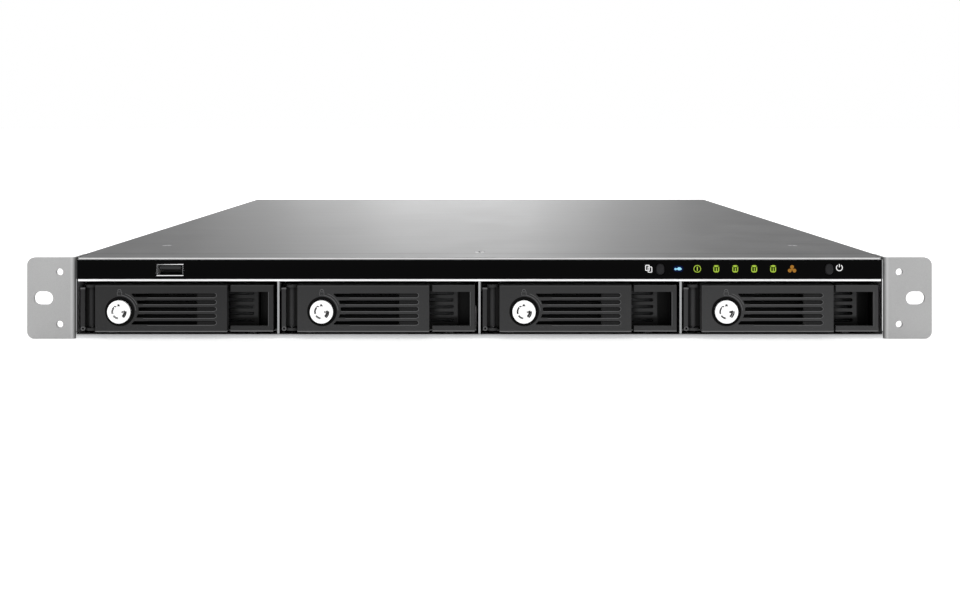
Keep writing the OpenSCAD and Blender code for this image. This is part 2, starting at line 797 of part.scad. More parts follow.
// The appliance inlet: a rim on the case, a well with two cut corners, and three blades.
module psu_inlet() {
    color("black")
    difference() {
        union() {
            block([inlet_x - 15.4, psu_y1, inlet_z - 11.8], [inlet_x + 15.4, rear_most, inlet_z + 11.8]);
            block([inlet_x - 13.6, psu_y1 - 20, inlet_z - 10], [inlet_x + 13.6, psu_y1 + 0.1, inlet_z + 10]);
        }
        along_y(psu_y1 - 16, rear_most + 1)
            translate([inlet_x, inlet_z])
                polygon([[-12.2, -8], [12.2, -8], [12.2, 3.4], [7.6, 8], [-7.6, 8], [-12.2, 3.4]]);
    }
    color("gold")
    for (p = [[-7, -1.2], [0, 1.6], [7, -1.2]])
        block([inlet_x + p[0] - 1, psu_y1 - 16.1, inlet_z + p[1] - 2],
              [inlet_x + p[0] + 1, psu_y1 - 2, inlet_z + p[1] + 2]);
}

// A wire guard over the power supply's fan: rings on spokes that reach past the hole.
module psu_fan_guard() {
    wire = 0.55;
    spoke = psu_fan_w / 2 + 1;
    color("gainsboro")
    translate([psu_fan_x, psu_y1, fan_z]) {
        for (r = [6, 11, 16])
            translate([0, wire, 0]) rotate([90, 0, 0])
                rotate_extrude() translate([r, 0]) circle(r = wire);
        for (a = [45, 135])
            rotate([0, a, 0]) translate([-spoke, wire, 0]) rotate([0, 90, 0])
                cylinder(r = wire * 0.9, h = 2 * spoke);
    }
}

// Wires from the power supply: to the main board's header, and forward to the backplane.
module power_harness() {
    y0 = psu_y1 - psu_l;
    z = 20.5;
    r = 3;
    bend = 8;
    x_main = -107;
    color("gold") {
        // forward to the backplane
        bar_y(r, -180, z, plane_y + board_t + 6, y0 + 1);
        block([-188, plane_y + board_t + 0.1, z - 4.5], [-172, plane_y + board_t + 7, z + 4.5]);
        // round to the main board: out of the case, across, and down its header
        bar_y(r, -160, z, y0 - 19, y0 + 1);
        translate([-160 + bend, y0 - 19, z]) rotate([0, 0, 180])
            rotate_extrude(angle = 90) translate([bend, 0]) circle(r = r);
        translate([-160 + bend, y0 - 19 - bend, z]) rotate([0, 90, 0]) cylinder(r = r, h = x_main + 160 - 2 * bend);
        translate([x_main - bend, y0 - 19 - 2 * bend, z])
            rotate_extrude(angle = 90) translate([bend, 0]) circle(r = r);
        bar_y(r, x_main, z, y0 - 24 - 2 * bend, y0 - 19 - 2 * bend + 0.1);
        block([-115.5, y0 - 36 - 2 * bend, port_z + 12.1], [-98.5, y0 - 22 - 2 * bend, z + 4]);
    }
}

// ---- The assembly ----

place() {
    chassis_base();
    rear_panel();
    top_cover();
    front_top_rail();
    drive_shelf();
    bay_dividers();
    ear_left();
    ear_right();
    front_bezel();
    light_pipes();
    front_board();
    front_usb_port();
    backplane();
    mainboard();
    heatsink();
    memory_module();
    lan_ports();
    rear_usb_ports();
    esata_ports();
    psu_case();
    psu_inlet();
    psu_fan_guard();
    fan_frames();
    power_harness();
    case_screws();
    push_button(copy_x);  // copy_button
    push_button(power_x);  // power_button
    reset_button();
    for (k = [0 : 2])
        rotor(fan_xs[k], fan_z, fan_y + 3, 20, 18.2);
    rotor(psu_fan_x, fan_z, psu_y1 - psu_fan_l + 0.2, 14, 17.2);  // psu_fan_rotor
    for (n = [1 : 4])
        at_bay(n) {
            tray_carrier();
            tray_front();
            tray_drive();
            tray_lever();
            tray_pin_and_screws();
            tray_lock_shell();
            tray_lock_core();
        }
}
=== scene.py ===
"""Looks of a rack-mount storage server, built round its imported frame."""

import json
import logging
import math
from collections.abc import Callable
from dataclasses import dataclass, field, replace
from enum import Enum

import bmesh
import bpy
from mathutils import Matrix, Vector

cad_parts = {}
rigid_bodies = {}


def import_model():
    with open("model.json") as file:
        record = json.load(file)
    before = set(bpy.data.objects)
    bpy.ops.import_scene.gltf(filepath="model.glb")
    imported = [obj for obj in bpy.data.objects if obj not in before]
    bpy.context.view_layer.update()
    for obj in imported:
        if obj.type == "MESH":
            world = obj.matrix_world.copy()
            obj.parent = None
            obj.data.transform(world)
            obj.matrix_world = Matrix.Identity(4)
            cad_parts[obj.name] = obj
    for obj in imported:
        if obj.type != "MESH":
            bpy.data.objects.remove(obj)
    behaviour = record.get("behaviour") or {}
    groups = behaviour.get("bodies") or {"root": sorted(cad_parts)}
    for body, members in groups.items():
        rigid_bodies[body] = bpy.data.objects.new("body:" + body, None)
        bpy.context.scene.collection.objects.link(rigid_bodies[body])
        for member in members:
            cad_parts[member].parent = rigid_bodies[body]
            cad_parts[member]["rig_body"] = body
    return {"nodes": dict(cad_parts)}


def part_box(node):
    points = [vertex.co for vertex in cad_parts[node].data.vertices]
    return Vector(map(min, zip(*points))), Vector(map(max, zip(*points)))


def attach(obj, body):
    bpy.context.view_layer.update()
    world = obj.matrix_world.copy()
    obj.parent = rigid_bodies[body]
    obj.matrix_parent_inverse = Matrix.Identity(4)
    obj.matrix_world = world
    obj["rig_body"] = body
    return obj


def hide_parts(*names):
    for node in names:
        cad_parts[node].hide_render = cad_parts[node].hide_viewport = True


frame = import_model()

MM = 0.001
LOG = logging.getLogger("server")
Colour = tuple[float, float, float]
Point = tuple[float, float]
Outline = list[Point]
Section = tuple[Outline, float]
Piece = bpy.types.Object
Socket = bpy.types.NodeSocket
TRAYS = (1, 2, 3, 4)
DRIFT_MM = 28.0  # size of a surface's slow unevenness
ROUND_SIDES = 16  # sides of a repeated round shape
MERGE_M = 1e-6  # corners closer than this are one
FLAT_ANGLE = math.radians(1)  # faces that meet flatter than this are one
EDGE_ANGLE = math.radians(50)  # edges sharper than this are rounded


# ---- Shader maths ----


def operator(operation: str, swapped: bool = False, clamp: bool = False) -> Callable[..., "Value"]:
    """Makes a method of Value out of a Math node's operation.

    Args:
        operation: The node's operation.
        swapped: Whether the other operand comes first.
        clamp: Whether the result is kept between 0 and 1.

    Returns:
        The method.
    """
    def apply(self: "Value", other: object = 0.0) -> "Value":
        """Returns the operation's result for self and the other operand."""
        operands = (other, self) if swapped else (self, other)
        settings = {"operation": operation, "use_clamp": clamp}
        node = self.shader.node("ShaderNodeMath", settings, dict(enumerate(operands)))
        return Value(self.shader, node.outputs[0])

    return apply


@dataclass(frozen=True)
class Value:
    """A number socket of a shader that Python's operators work on.

    Attributes:
        shader: The shader whose nodes hold the socket.
        socket: The output socket that carries the number.
    """

    shader: "Shader"
    socket: Socket

    __add__, __radd__ = operator("ADD"), operator("ADD", swapped=True)
    __sub__, __rsub__ = operator("SUBTRACT"), operator("SUBTRACT", swapped=True)
    __mul__, __rmul__ = operator("MULTIPLY"), operator("MULTIPLY", swapped=True)
    __truediv__, __mod__ = operator("DIVIDE"), operator("FLOORED_MODULO")
    __gt__, __lt__ = operator("GREATER_THAN"), operator("LESS_THAN")
    clipped, size, larger = operator("ADD", clamp=True), operator("ABSOLUTE"), operator("MAXIMUM")


class Shader:
    """A material with a Principled surface, and the makers of its nodes."""

    def __init__(self, name: str) -> None:
        """Starts the material.

        Args:
            name: The material's name.
        """
        self.material = bpy.data.materials.new(name)
        self.material.use_nodes = True
        self.tree = self.material.node_tree
        self.tree.nodes.clear()
        self.surface = self.node("ShaderNodeBsdfPrincipled")
        self.node("ShaderNodeOutputMaterial", inputs={"Surface": self.surface.outputs[0]})
        self.place = self.node("ShaderNodeTexCoord").outputs["Object"]

    def node(self, kind: str, settings: dict | None = None, inputs: dict | None = None) -> bpy.types.Node:
        """Adds a node.

        Args:
            kind: The node's type.
            settings: Its properties, and a ramp's stops under "stops".
            inputs: Values or links of its sockets, by name or number.

        Returns:
            The node.
        """
        made = self.tree.nodes.new(kind)
        for key, value in (settings or {}).items():
            if key == "stops":
                ramp = made.color_ramp.elements
                while len(ramp) < len(value):
                    ramp.new(0.5)
                for stop, (position, colour) in zip(ramp, value):
                    stop.position = position
                    stop.color = (*colour, 1.0)
            else:
                setattr(made, key, value)
        for key, value in (inputs or {}).items():
            self.feed(made.inputs[key], value)
        return made

    def feed(self, socket: Socket, value: object) -> None:
        """Links or sets one socket.

        Args:
            socket: The input socket.
            value: A Value, an output socket, a number or a colour.
        """
        if isinstance(value, Value):
            value = value.socket
        if isinstance(value, Socket):
            self.tree.links.new(value, socket)
        elif isinstance(value, tuple) and socket.type == "RGBA":
            socket.default_value = (*value, 1.0)
        else:
            socket.default_value = value

    def noise(self, size_mm: float, detail: float = 2.0, stretch: Colour = (1.0, 1.0, 1.0)) -> Value:
        """Makes a noise pattern.

        Args:
            size_mm: The pattern's grain size.
            detail: Its number of finer layers.
            stretch: How much finer it is along each axis.

        Returns:
            The pattern, about 0 to 1.
        """
        place = self.node("ShaderNodeMapping", inputs={"Vector": self.place, "Scale": stretch}).outputs[0]
        inputs = {"Vector": place, "Scale": 1.0 / (size_mm * MM), "Detail": detail}
        return Value(self, self.node("ShaderNodeTexNoise", inputs=inputs).outputs[0])

    def cells(self, size_mm: float) -> Value:
        """Returns the distance to the nearest point of a scatter with this spacing."""
        inputs = {"Vector": self.place, "Scale": 1.0 / (size_mm * MM)}
        return Value(self, self.node("ShaderNodeTexVoronoi", inputs=inputs).outputs["Distance"])

    def axis(self, name: str) -> Value:
        """Returns the place along one axis, in millimetres."""
        split = self.node("ShaderNodeSeparateXYZ", inputs={"Vector": self.place})
        return Value(self, split.outputs[name]) / MM

    def mix(self, factor: object, low: object, high: object) -> Socket:
        """Mixes two colours.

        Args:
            factor: 0 gives the first colour and 1 the second.
            low: The first colour.
            high: The second colour.

        Returns:
            The mixed colour.
        """
        return self.node("ShaderNodeMix", {"data_type": "RGBA"}, {0: factor, 6: low, 7: high}).outputs[2]

    def set(self, **sockets: object) -> None:
        """Feeds the surface's sockets, written with _ for each space."""
        for name, value in sockets.items():
            self.feed(self.surface.inputs[name.replace("_", " ")], value)


def shade(colour: Colour, factor: float) -> Colour:
    """Returns the colour made lighter or darker by a factor."""
    return tuple(min(1.0, channel * factor) for channel in colour)


def grey(level: float) -> Colour:
    """Returns a grey of this lightness."""
    return (level, level, level)


# ---- Finishes ----


@dataclass(frozen=True)
class Finish:
    """A finish with a fine grain and a slight unevenness.

    Attributes:
        name: The material's name.
        slot: The record's material slot; not used.
        colour: The mean colour.
        roughness: The mean roughness.
        metallic: 1 for bare metal, 0 for paint and plastic.
        specular: The strength of the clear reflection.
        grain_mm: The grain's size.
        stretch: How much finer the grain is along each axis.
        contrast: How far the grain changes the colour.
        relief_mm: The grain's depth.
        edge_tint: How much of the light a bare metal gives back at a low angle.
    """

    name: str
    slot: str
    colour: Colour
    roughness: float
    metallic: float = 0.0
    specular: float = 0.5
    grain_mm: float = 0.4
    stretch: Colour = (1.0, 1.0, 1.0)
    contrast: float = 0.1
    relief_mm: float = 0.01
    edge_tint: Colour = (1.0, 1.0, 1.0)

    def material(self) -> bpy.types.Material:
        """Returns the material, made the first time it is asked for."""
        return bpy.data.materials.get(self.full_name) or self.make()

    @property
    def full_name(self) -> str:
        """Returns the material's name, which no slot of the frame has."""
        return f"finish_{self.name}"

    def make(self) -> bpy.types.Material:
        """Returns the new material."""
        shader = Shader(self.full_name)
        grain = shader.noise(self.grain_mm, 2.0, self.stretch)
        drift = shader.noise(DRIFT_MM, 3.0)
        tone = (grain * 0.7 + drift * 0.5 - 0.1).clipped()
        relief = {"Height": self.relief(shader, grain), "Distance": self.relief_mm * MM, "Strength": 1.0}
        shader.set(
            Base_Color=self.tint(shader, tone),
            Roughness=(self.roughness + (grain - 0.5) * 0.14 + (drift - 0.5) * 0.10).clipped(),
            Metallic=self.metallic,
            Specular_IOR_Level=self.specular,
            Specular_Tint=self.edge_tint,
            Normal=shader.node("ShaderNodeBump", inputs=relief).outputs[0],
        )
        return shader.material

    def tint(self, shader: Shader, tone: Value) -> Socket:
        """Returns the colour over the surface, for a tone from 0 to 1."""
        return shader.mix(tone, shade(self.colour, 1 - self.contrast), shade(self.colour, 1 + self.contrast))

    def relief(self, shader: Shader, grain: Value) -> Value:
        """Returns the pattern of the relief."""
        return grain


@dataclass(frozen=True)
class BayPlastic(Finish):
    """Moulded plastic with painted shade that goes to black in the depth of a bay, and painted highlights
    along its edges that face up and down.

    Attributes:
        near_mm: The depth, behind the levers' faces, where painted shade turns it black behind a lever.
        far_mm: The depth where painted shade turns it black in the finger pocket.
        cover_mm: How far the lever covers the bay, from the bay's left edge.
        slot_mm: The depth where painted shade turns a cooling slot's walls black.
        slots_x: Where the slots and the lock begin and end, from the bay's left edge.
        groove_end: Where the grooves that carry on from the slots end.
        rim_highlight: The colour of the painted highlights along the edges that face up and down.
        top_shadow_mm: The height of the painted shadow along the levers' top edges.
    """

    near_mm: float = 5.2
    far_mm: float = 9.2
    cover_mm: float = 80.6
    slot_mm: float = 0.1
    slots_x: Point = (14.0, 64.4)
    groove_end: float = 76.0
    rim_highlight: Colour = (0.13, 0.13, 0.131)
    top_shadow_mm: float = 0.3

    def tint(self, shader: Shader, tone: Value) -> Socket:
        """Returns the colour, with painted shade that is black where no light gets in, painted highlights
        along the levers' top and bottom edges, and darker towards the top.
        """
        first, second = span("tray_1_lever")[0], span("tray_2_lever")[0]
        top = span("tray_1_lever")[1].z
        pitch = second.x - first.x
        depth = shader.axis("Y") - first.y
        height = shader.axis("Z")
        along = (shader.axis("X") + 2 * pitch) % pitch
        covered = along < self.cover_mm
        # Painted shade: black behind the levers, in the slots, in the finger pocket, along the levers' top
        # edges, in the grooves and deeper than far_mm.
        behind = ((depth - self.near_mm) * 2.0).clipped() * covered
        slots = (along > self.slots_x[0]) * (along < self.slots_x[1])
        slots = slots * (height > first.z + 2.6) * (height < top - 2.6) * (depth > self.slot_mm)
        lit = ((along - self.cover_mm - 2.2) / 3.0).clipped() * ((height - first.z - 6.0) / 1.6).clipped()
        pocket = (1 - lit) * (depth > 4.0) * (along > self.cover_mm)
        pocket = pocket.larger((along > self.cover_mm + 14.9) * (depth > 4.6))
        top_shadow = (height > top - self.top_shadow_mm) * (depth < 2.6)
        groove = (along > self.slots_x[1]) * (along < self.groove_end) * (depth > 0.3) * (depth < 1.5)
        black = behind
        for dark in (slots, pocket, top_shadow, groove * 0.7, ((depth - self.far_mm) * 2.0).clipped()):
            black = black.larger(dark)
        # Painted highlights along the levers' bottom and top edges.
        low_rim_highlight = ((first.z + 0.7 - height) * 3.0).clipped()
        high_rim_highlight = ((height - top + 0.75) * 2.0).clipped() * 0.4
        rim_highlight = low_rim_highlight.larger(high_rim_highlight) * (depth < 2.6)
        # Darker towards the top.
        rising = ((height - first.z) / (top - first.z)).clipped() * 0.34
        plastic = shader.mix(rising, super().tint(shader, tone), shade(self.colour, 0.35))
        highlighted = shader.mix(rim_highlight, plastic, self.rim_highlight)
        return shader.mix(black, highlighted, grey(0.0005))


@dataclass(frozen=True)
class Rolled(Finish):
    """Painted sheet with faint streaks along its width.

    Attributes:
        streak: How far the streaks change the colour.
        seam_mm: How far the shade reaches from the cover's front edge.
    """

    streak: float = 0.6
    seam_mm: float = 1.2

    def tint(self, shader: Shader, tone: Value) -> Socket:
        """Returns the colour, with long streaks over the grain and painted shade along the seam at the
        cover's front edge.
        """
        streaks = shader.noise(2.6, 3.0, (0.035, 1.0, 1.0))
        painted = super().tint(shader, (tone + (streaks - 0.5) * self.streak).clipped())
        # Painted shade along the seam at the cover's front edge.
        seam = (shader.axis("Y") - span("top_cover")[0].y).size() < self.seam_mm
        return shader.mix(seam * 0.3, painted, shade(self.colour, 0.25))


@dataclass(frozen=True)
class Bent(Finish):
    """An ear's paint, in painted shade where the ear bends round to the case, with a painted highlight just
    outside the bend.

    Attributes:
        bend_mm: The distance from the middle of the case where the shade begins.
        fade_mm: How far in it is at its darkest.
    """

    bend_mm: float = 217.0
    fade_mm: float = 1.7

    def tint(self, shader: Shader, tone: Value) -> Socket:
        """Returns the colour, with painted shade darker towards the case and a painted highlight just outside
        the bend.
        """
        across = shader.axis("X").size()
        # Painted shade towards the case, and a painted highlight on the bend's outer crest.
        shaded = ((self.bend_mm - across) / self.fade_mm).clipped() * 0.92
        crest = (1 - ((across - self.bend_mm - 0.5).size() / 0.9)).clipped() * 0.5
        paint = shader.mix(crest, super().tint(shader, tone), shade(self.colour, 1.5))
        return shader.mix(shaded, paint, shade(self.colour, 0.05))


@dataclass(frozen=True)
class Folded(Finish):
    """Zinc-plated sheet, with painted shadow in the gaps round the bays and painted shade on its front edges.

    Attributes:
        gap_mm: How far out the painted shadow in the gap beside the control strip reaches.
        lip_mm: The height where painted shadow turns the front lip's top dark.
        lip: The colour of the front lip.
    """

    gap_mm: float = 214.75
    lip_mm: float = 2.45
    lip: Colour = (0.86, 0.865, 0.87)

    def tint(self, shader: Shader, tone: Value) -> Socket:
        """Returns the colour, with painted shadow inside the side walls' front edges and under the levers,
        and painted shade on the front lip and on the walls' front edges.
        """
        front, top = span("chassis_base")[0], span("tray_1_lever")[0].z
        strip = span("front_bezel")[0].z
        across = shader.axis("X").size()
        height = shader.axis("Z")
        edge = shader.axis("Y") < front.y + 0.6
        # Painted shadow: black in the gap beside the control strip, and on the front lip's top under the
        # levers.
        gap_shadow = edge * (height > top) * (across < self.gap_mm)
        gap_shadow = gap_shadow.larger(edge * (across < self.gap_mm) * (height > self.lip_mm) * (height < top))
        # Painted shade: the front lip darker towards its top, the walls' front edges darker on the left side
        # and from the control strip's lower edge up.
        lip = edge * (height < top)
        lip_shade = lip * ((height / top).clipped() * 0.95 + 0.05)
        outer = edge * (height > top)
        outer_shade = outer * (0.75 - (shader.axis("X") > 0) * 0.45 + (height > strip) * 0.4)
        bright = shader.mix(lip_shade.larger(outer_shade).clipped(), self.lip, grey(0.03))
        steel = shader.mix(lip.larger(outer), super().tint(shader, tone), bright)
        return shader.mix(gap_shadow, steel, grey(0.001))


@dataclass(frozen=True)
class Divider(Finish):
    """Plated sheet whose front edge alone catches the light, painted black with shade behind and beside that
    edge.

    Attributes:
        edge_mm: How deep the lit edge is.
        dark_mm: How deep the painted shade behind it reaches.
        half_mm: Half the width of the lit edge.
    """

    edge_mm: float = 0.8
    half_mm: float = 0.55
    dark_mm: float = 60.0

    def tint(self, shader: Shader, tone: Value) -> Socket:
        """Returns the colour, with painted shade that is black between the trays."""
        depth = shader.axis("Y") - span("bay_dividers")[0].y
        # Painted shade: black from just behind the lit front edge to dark_mm deep, then fading, and beside
        # the lit edge.
        dark = ((depth - self.edge_mm) * 3.0).clipped() * (1 - ((depth - self.dark_mm) / 20.0).clipped())
        pitch = (span("tray_2_lever")[0] - span("tray_1_lever")[0]).x
        across = ((shader.axis("X") + 2.5 * pitch) % pitch - pitch / 2).size()
        dark = dark.larger((across > self.half_mm) * (depth < self.edge_mm) * (across < 3.0))
        return shader.mix(dark, super().tint(shader, tone), grey(0.001))


@dataclass(frozen=True)
class ScrewHead(Finish):
    """Plated screws, with painted shade on those in the cover's middle and rear."""

    def tint(self, shader: Shader, tone: Value) -> Socket:
        """Returns the colour, with painted shade on every screw but those at the case's front corners."""
        # Painted shade: screws in the middle or the rear are darkened.
        middle = (shader.axis("X").size() < 150).larger(shader.axis("Y") > -100)
        return shader.mix(middle * 0.9, super().tint(shader, tone), grey(0.10))


@dataclass(frozen=True)
class Gloss(Finish):
    """A polished moulding with faint wiping marks and a little dust."""

    def relief(self, shader: Shader, grain: Value) -> Value:
        """Returns a slow waviness, as of a moulded sheet."""
        return shader.noise(9.0, 1.0)

    def tint(self, shader: Shader, tone: Value) -> Socket:
        """Returns the colour, with sparse specks of dust."""
        dust = (shader.noise(0.35, 1.0) > 0.86) * 0.05
        return shader.mix(dust, super().tint(shader, tone), grey(0.20))


@dataclass(frozen=True)
class Plated(Finish):
    """Plated metal with fine turning marks."""

    def relief(self, shader: Shader, grain: Value) -> Value:
        """Returns fine marks mixed with a slow waviness."""
        return grain * 0.5 + shader.noise(2.5, 2.0) * 0.5


@dataclass(frozen=True)
class Board(Finish):
    """A circuit board's lacquer over copper tracks, with plated holes."""

    def tint(self, shader: Shader, tone: Value) -> Socket:
        """Returns lacquer, lighter over the tracks and gold at the holes."""
        wobble = shader.noise(14.0, 0.0)
        runs = shader.noise(1.1, 0.0, (0.04, 1.0, 1.0)) * (wobble > 0.5)
        rises = shader.noise(1.1, 0.0, (1.0, 0.04, 1.0)) * (wobble < 0.5)
        track = (runs + rises) > 0.53
        holes = shader.cells(2.6) < 0.16
        lacquer = shader.mix(track, super().tint(shader, tone), shade(self.colour, 1.9))
        return shader.mix(holes, lacquer, (0.62, 0.46, 0.16))


@dataclass(frozen=True)
class Wires(Finish):
    """A bundle of coloured wires."""

    def tint(self, shader: Shader, tone: Value) -> Socket:
        """Returns bands of wire colours."""
        band = shader.noise(3.2, 0.0, (0.5, 0.1, 2.0))
        stops = [(0.0, grey(0.02)), (0.42, (0.62, 0.42, 0.03)), (0.5, (0.45, 0.02, 0.02)),
                 (0.58, (0.65, 0.25, 0.02))]
        ramp = shader.node("ShaderNodeValToRGB", {"stops": stops}, {"Fac": band})
        ramp.color_ramp.interpolation = "CONSTANT"
        return shader.mix(tone * 0.3, ramp.outputs["Color"], grey(0.02))


@dataclass(frozen=True)
class Glow(Finish):
    """A lit mark, hottest where its lamp sits.

    Attributes:
        strength: How bright it is.
    """

    strength: float = 1.0

    def make(self) -> bpy.types.Material:
        """Returns the new material."""
        shader = Shader(self.full_name)
        core = (shader.noise(1.3, 1.0) * 1.4 - 0.2).clipped()
        shader.set(
            Base_Color=shade(self.colour, 0.05),
            Roughness=self.roughness,
            Specular_IOR_Level=0.03,
            Emission_Color=shader.mix(core, shade(self.colour, 0.75), shade(self.colour, 1.35)),
            Emission_Strength=self.strength,
        )
        return shader.material


COVER = Rolled("cover_steel", "case_steel", (0.30, 0.30, 0.302), 0.48, 1.0, 0.4, 0.55, (0.5, 1.3, 1.0),
               0.20, 0.004,
               grey(0.24))
# Pale finish of the strip painted as the highlight on the front rail's fold.
FOLD_HIGHLIGHT = Finish("cover_fold_highlight", "case_steel", grey(0.66), 0.45, 0.0, 0.4, 0.9, (0.2, 1.0, 1.0), 0.12, 0.004)
EAR = Bent("ear_steel", "ear_steel", grey(0.36), 0.50, 0.2, 0.3, 0.62, contrast=0.16, relief_mm=0.012)
ZINC = Finish("zinc_steel", "zinc_steel", (0.86, 0.865, 0.87), 0.34, 0.5, 0.5, 0.8, (1.0, 0.25, 1.0), 0.08,
              0.006)
BASE = Folded("base_steel", "zinc_steel", (0.33, 0.333, 0.338), 0.36, 0.6, 0.5, 0.8, (1.0, 0.25, 1.0), 0.12,
              0.006)
PANEL = Finish("panel_steel", "zinc_steel", (0.36, 0.363, 0.368), 0.36, 0.6, 0.5, 0.8, (0.25, 1.0, 1.0),
               0.12, 0.006)
CARRIER = Finish("carrier_steel", "zinc_steel", (0.30, 0.303, 0.306), 0.34, 0.5, 0.5, 0.8, (1.0, 0.25, 1.0),
                 0.08, 0.006)
DIVIDER = Divider("divider_steel", "zinc_steel", (0.34, 0.345, 0.35), 0.36, 0.5, 0.4, 0.8, (1.0, 0.25, 1.0),
                  0.10, 0.006)
HEAD = ScrewHead("case_screw", "screw_steel", (0.55, 0.55, 0.56), 0.36, 1.0, 0.5, 0.20, relief_mm=0.004,
                 edge_tint=grey(0.5))
SCREW = Plated("screw_steel", "screw_steel", (0.72, 0.72, 0.73), 0.24, 1.0, 0.5, 0.20, relief_mm=0.004)
BEZEL = Gloss("bezel_black", "bezel_black", (0.0010, 0.0010, 0.0011), 0.10, 0.0, 0.022, contrast=0.3,
              relief_mm=0.01)
TRAY = BayPlastic("tray_black", "tray_black", (0.026, 0.026, 0.0265), 0.48, 0.0, 0.13, 0.45, contrast=0.24,
                  relief_mm=0.012)
# Near-black gloss painted as shade: in the lock's well, along the slots and grooves, and inside the front
# socket.
SHADE_BLACK = Gloss("painted_shade_black", "tray_black", grey(0.001), 0.30, 0.0, 0.05, contrast=0.2, relief_mm=0.004)
CAP = Finish("button_grey", "button_grey", (0.009, 0.009, 0.010), 0.42, 0.0, 0.16, 1.3, contrast=0.85,
             relief_mm=0.12)
LOCK = Plated("lock_chrome", "lock_chrome", grey(0.96), 0.30, 0.5, 0.6, 0.25, relief_mm=0.003, contrast=0.03)
# Dark finish painted as the shade on the keyway's floor and in the lock shell's notches.
KEYWAY = Plated("lock_keyway", "lock_chrome", grey(0.03), 0.35, 0.3, 0.2, 0.25, relief_mm=0.003)
SHELL = Plated("port_metal", "port_metal", (0.78, 0.78, 0.79), 0.22, 0.8, 0.5, 0.5, relief_mm=0.004)
GOLD = Plated("contact_gold", "port_metal", (0.85, 0.62, 0.22), 0.25, 1.0, 0.5, 0.3, relief_mm=0.002)
GREEN = Board("board_green", "board_green", (0.012, 0.075, 0.030), 0.32, 0.0, 0.5, 0.6, contrast=0.15,
              relief_mm=0.01)
CHIP = Finish("chip_black", "socket_black", (0.020, 0.020, 0.021), 0.50, 0.0, 0.4, 0.25, contrast=0.2,
              relief_mm=0.01)
BLACK = Finish("socket_black", "socket_black", (0.014, 0.014, 0.015), 0.48, 0.0, 0.30, 0.35, contrast=0.15,
               relief_mm=0.012)
PIPE = Finish("lamp_clear", "lamp_clear", (0.50, 0.56, 0.48), 0.15, 0.0, 0.5, 0.6, contrast=0.05,
              relief_mm=0.002)
ALLOY = Finish("drive_alloy", "drive_alloy", (0.52, 0.53, 0.54), 0.34, 0.85, 0.5, 0.5, (1.0, 0.5, 1.0),
               0.07, 0.008)
CAST = Finish("drive_casting", "drive_alloy", (0.060, 0.061, 0.064), 0.46, 0.3, 0.4, 0.55, contrast=0.25,
              relief_mm=0.03)
SINK = Finish("sink_alloy", "sink_alloy", (0.68, 0.69, 0.70), 0.30, 0.9, 0.5, 0.5, (1.0, 0.1, 1.0), 0.06,
              0.006)
HARNESS = Wires("wire_bundle", "wire_yellow", (0.60, 0.45, 0.05), 0.42, 0.0, 0.4, 0.8, relief_mm=0.06)
LABEL = Finish("paper_label", "drive_alloy", (0.80, 0.80, 0.79), 0.60, 0.0, 0.3, 0.25, contrast=0.04,
               relief_mm=0.002)
PRINT = Finish("white_print", "bezel_black", grey(0.86), 0.50, 0.0, 0.3, 0.2, contrast=0.04, relief_mm=0.002)
# Pale moulding for the raised marks beside the lock, and for strips painted as highlights on the levers'
# edges, the claw's ends and the finger pocket.
MARK_AND_HIGHLIGHT = Finish("moulded_mark_and_highlight", "tray_black", (0.085, 0.085, 0.087), 0.45, 0.0, 0.30, 0.25, contrast=0.10,
              relief_mm=0.005)
LIT_GREEN = Glow("lit_green", "lamp_clear", (0.37, 0.53, 0.055), 0.4, strength=0.95)
LIT_DEEP = Glow("lit_green_deep", "lamp_clear", (0.016, 0.034, 0.002), 0.4, strength=0.8)
LIT_BLUE = Glow("lit_blue", "lamp_clear", (0.30, 0.66, 1.0), 0.4, strength=1.1)
LIT_HALO = Glow("lit_blue_halo", "lamp_clear", (0.0005, 0.004, 0.035), 0.4, strength=1.0)
LIT_AMBER = Glow("lit_amber", "lamp_clear", (0.38, 0.17, 0.025), 0.4, strength=0.85)


# ---- Meshes ----


def outline_circle(radius: float, centre: Point = (0.0, 0.0), sides: int = 40) -> Outline:
    """Returns the points of a circle."""
    turns = [2 * math.pi * step / sides for step in range(sides)]
    return [(centre[0] + radius * math.cos(turn), centre[1] + radius * math.sin(turn)) for turn in turns]


def outline_box(width: float, height: float, radius: float, centre: Point = (0.0, 0.0),
                sides: int = 6) -> Outline:
    """Makes a rectangle with round corners.

    Args:
        width: Its full width.
        height: Its full height.
        radius: The corners' radius.
        centre: Its middle.
        sides: The steps in each corner.

    Returns:
        The points, anticlockwise.
    """
    points = []
    for corner, (sign_x, sign_z) in enumerate(((1, 1), (-1, 1), (-1, -1), (1, -1))):
        for step in range(sides + 1):
            turn = math.pi / 2 * (corner + step / sides)
            points.append((
                centre[0] + sign_x * (width / 2 - radius) + radius * math.cos(turn),
                centre[1] + sign_z * (height / 2 - radius) + radius * math.sin(turn),
            ))
    return points


def arc_band(radius: float, width: float, start: float, end: float, centre: Point,
             steps: int = 24) -> Outline:
    """Makes the outline of a curved band.

    Args:
        radius: The radius of its middle.
        width: Its width.
        start: The angle it starts at, in degrees from +X.
        end: The angle it ends at.
        centre: The arc's centre.
        steps: The steps along it.

    Returns:
        The points, along one side and back along the other.
    """
    turns = [math.radians(start + (end - start) * step / steps) for step in range(steps + 1)]
    sides = []
    for edge, run in ((radius + width / 2, turns), (radius - width / 2, turns[::-1])):
        sides += [(centre[0] + edge * math.cos(turn), centre[1] + edge * math.sin(turn)) for turn in run]
    return sides


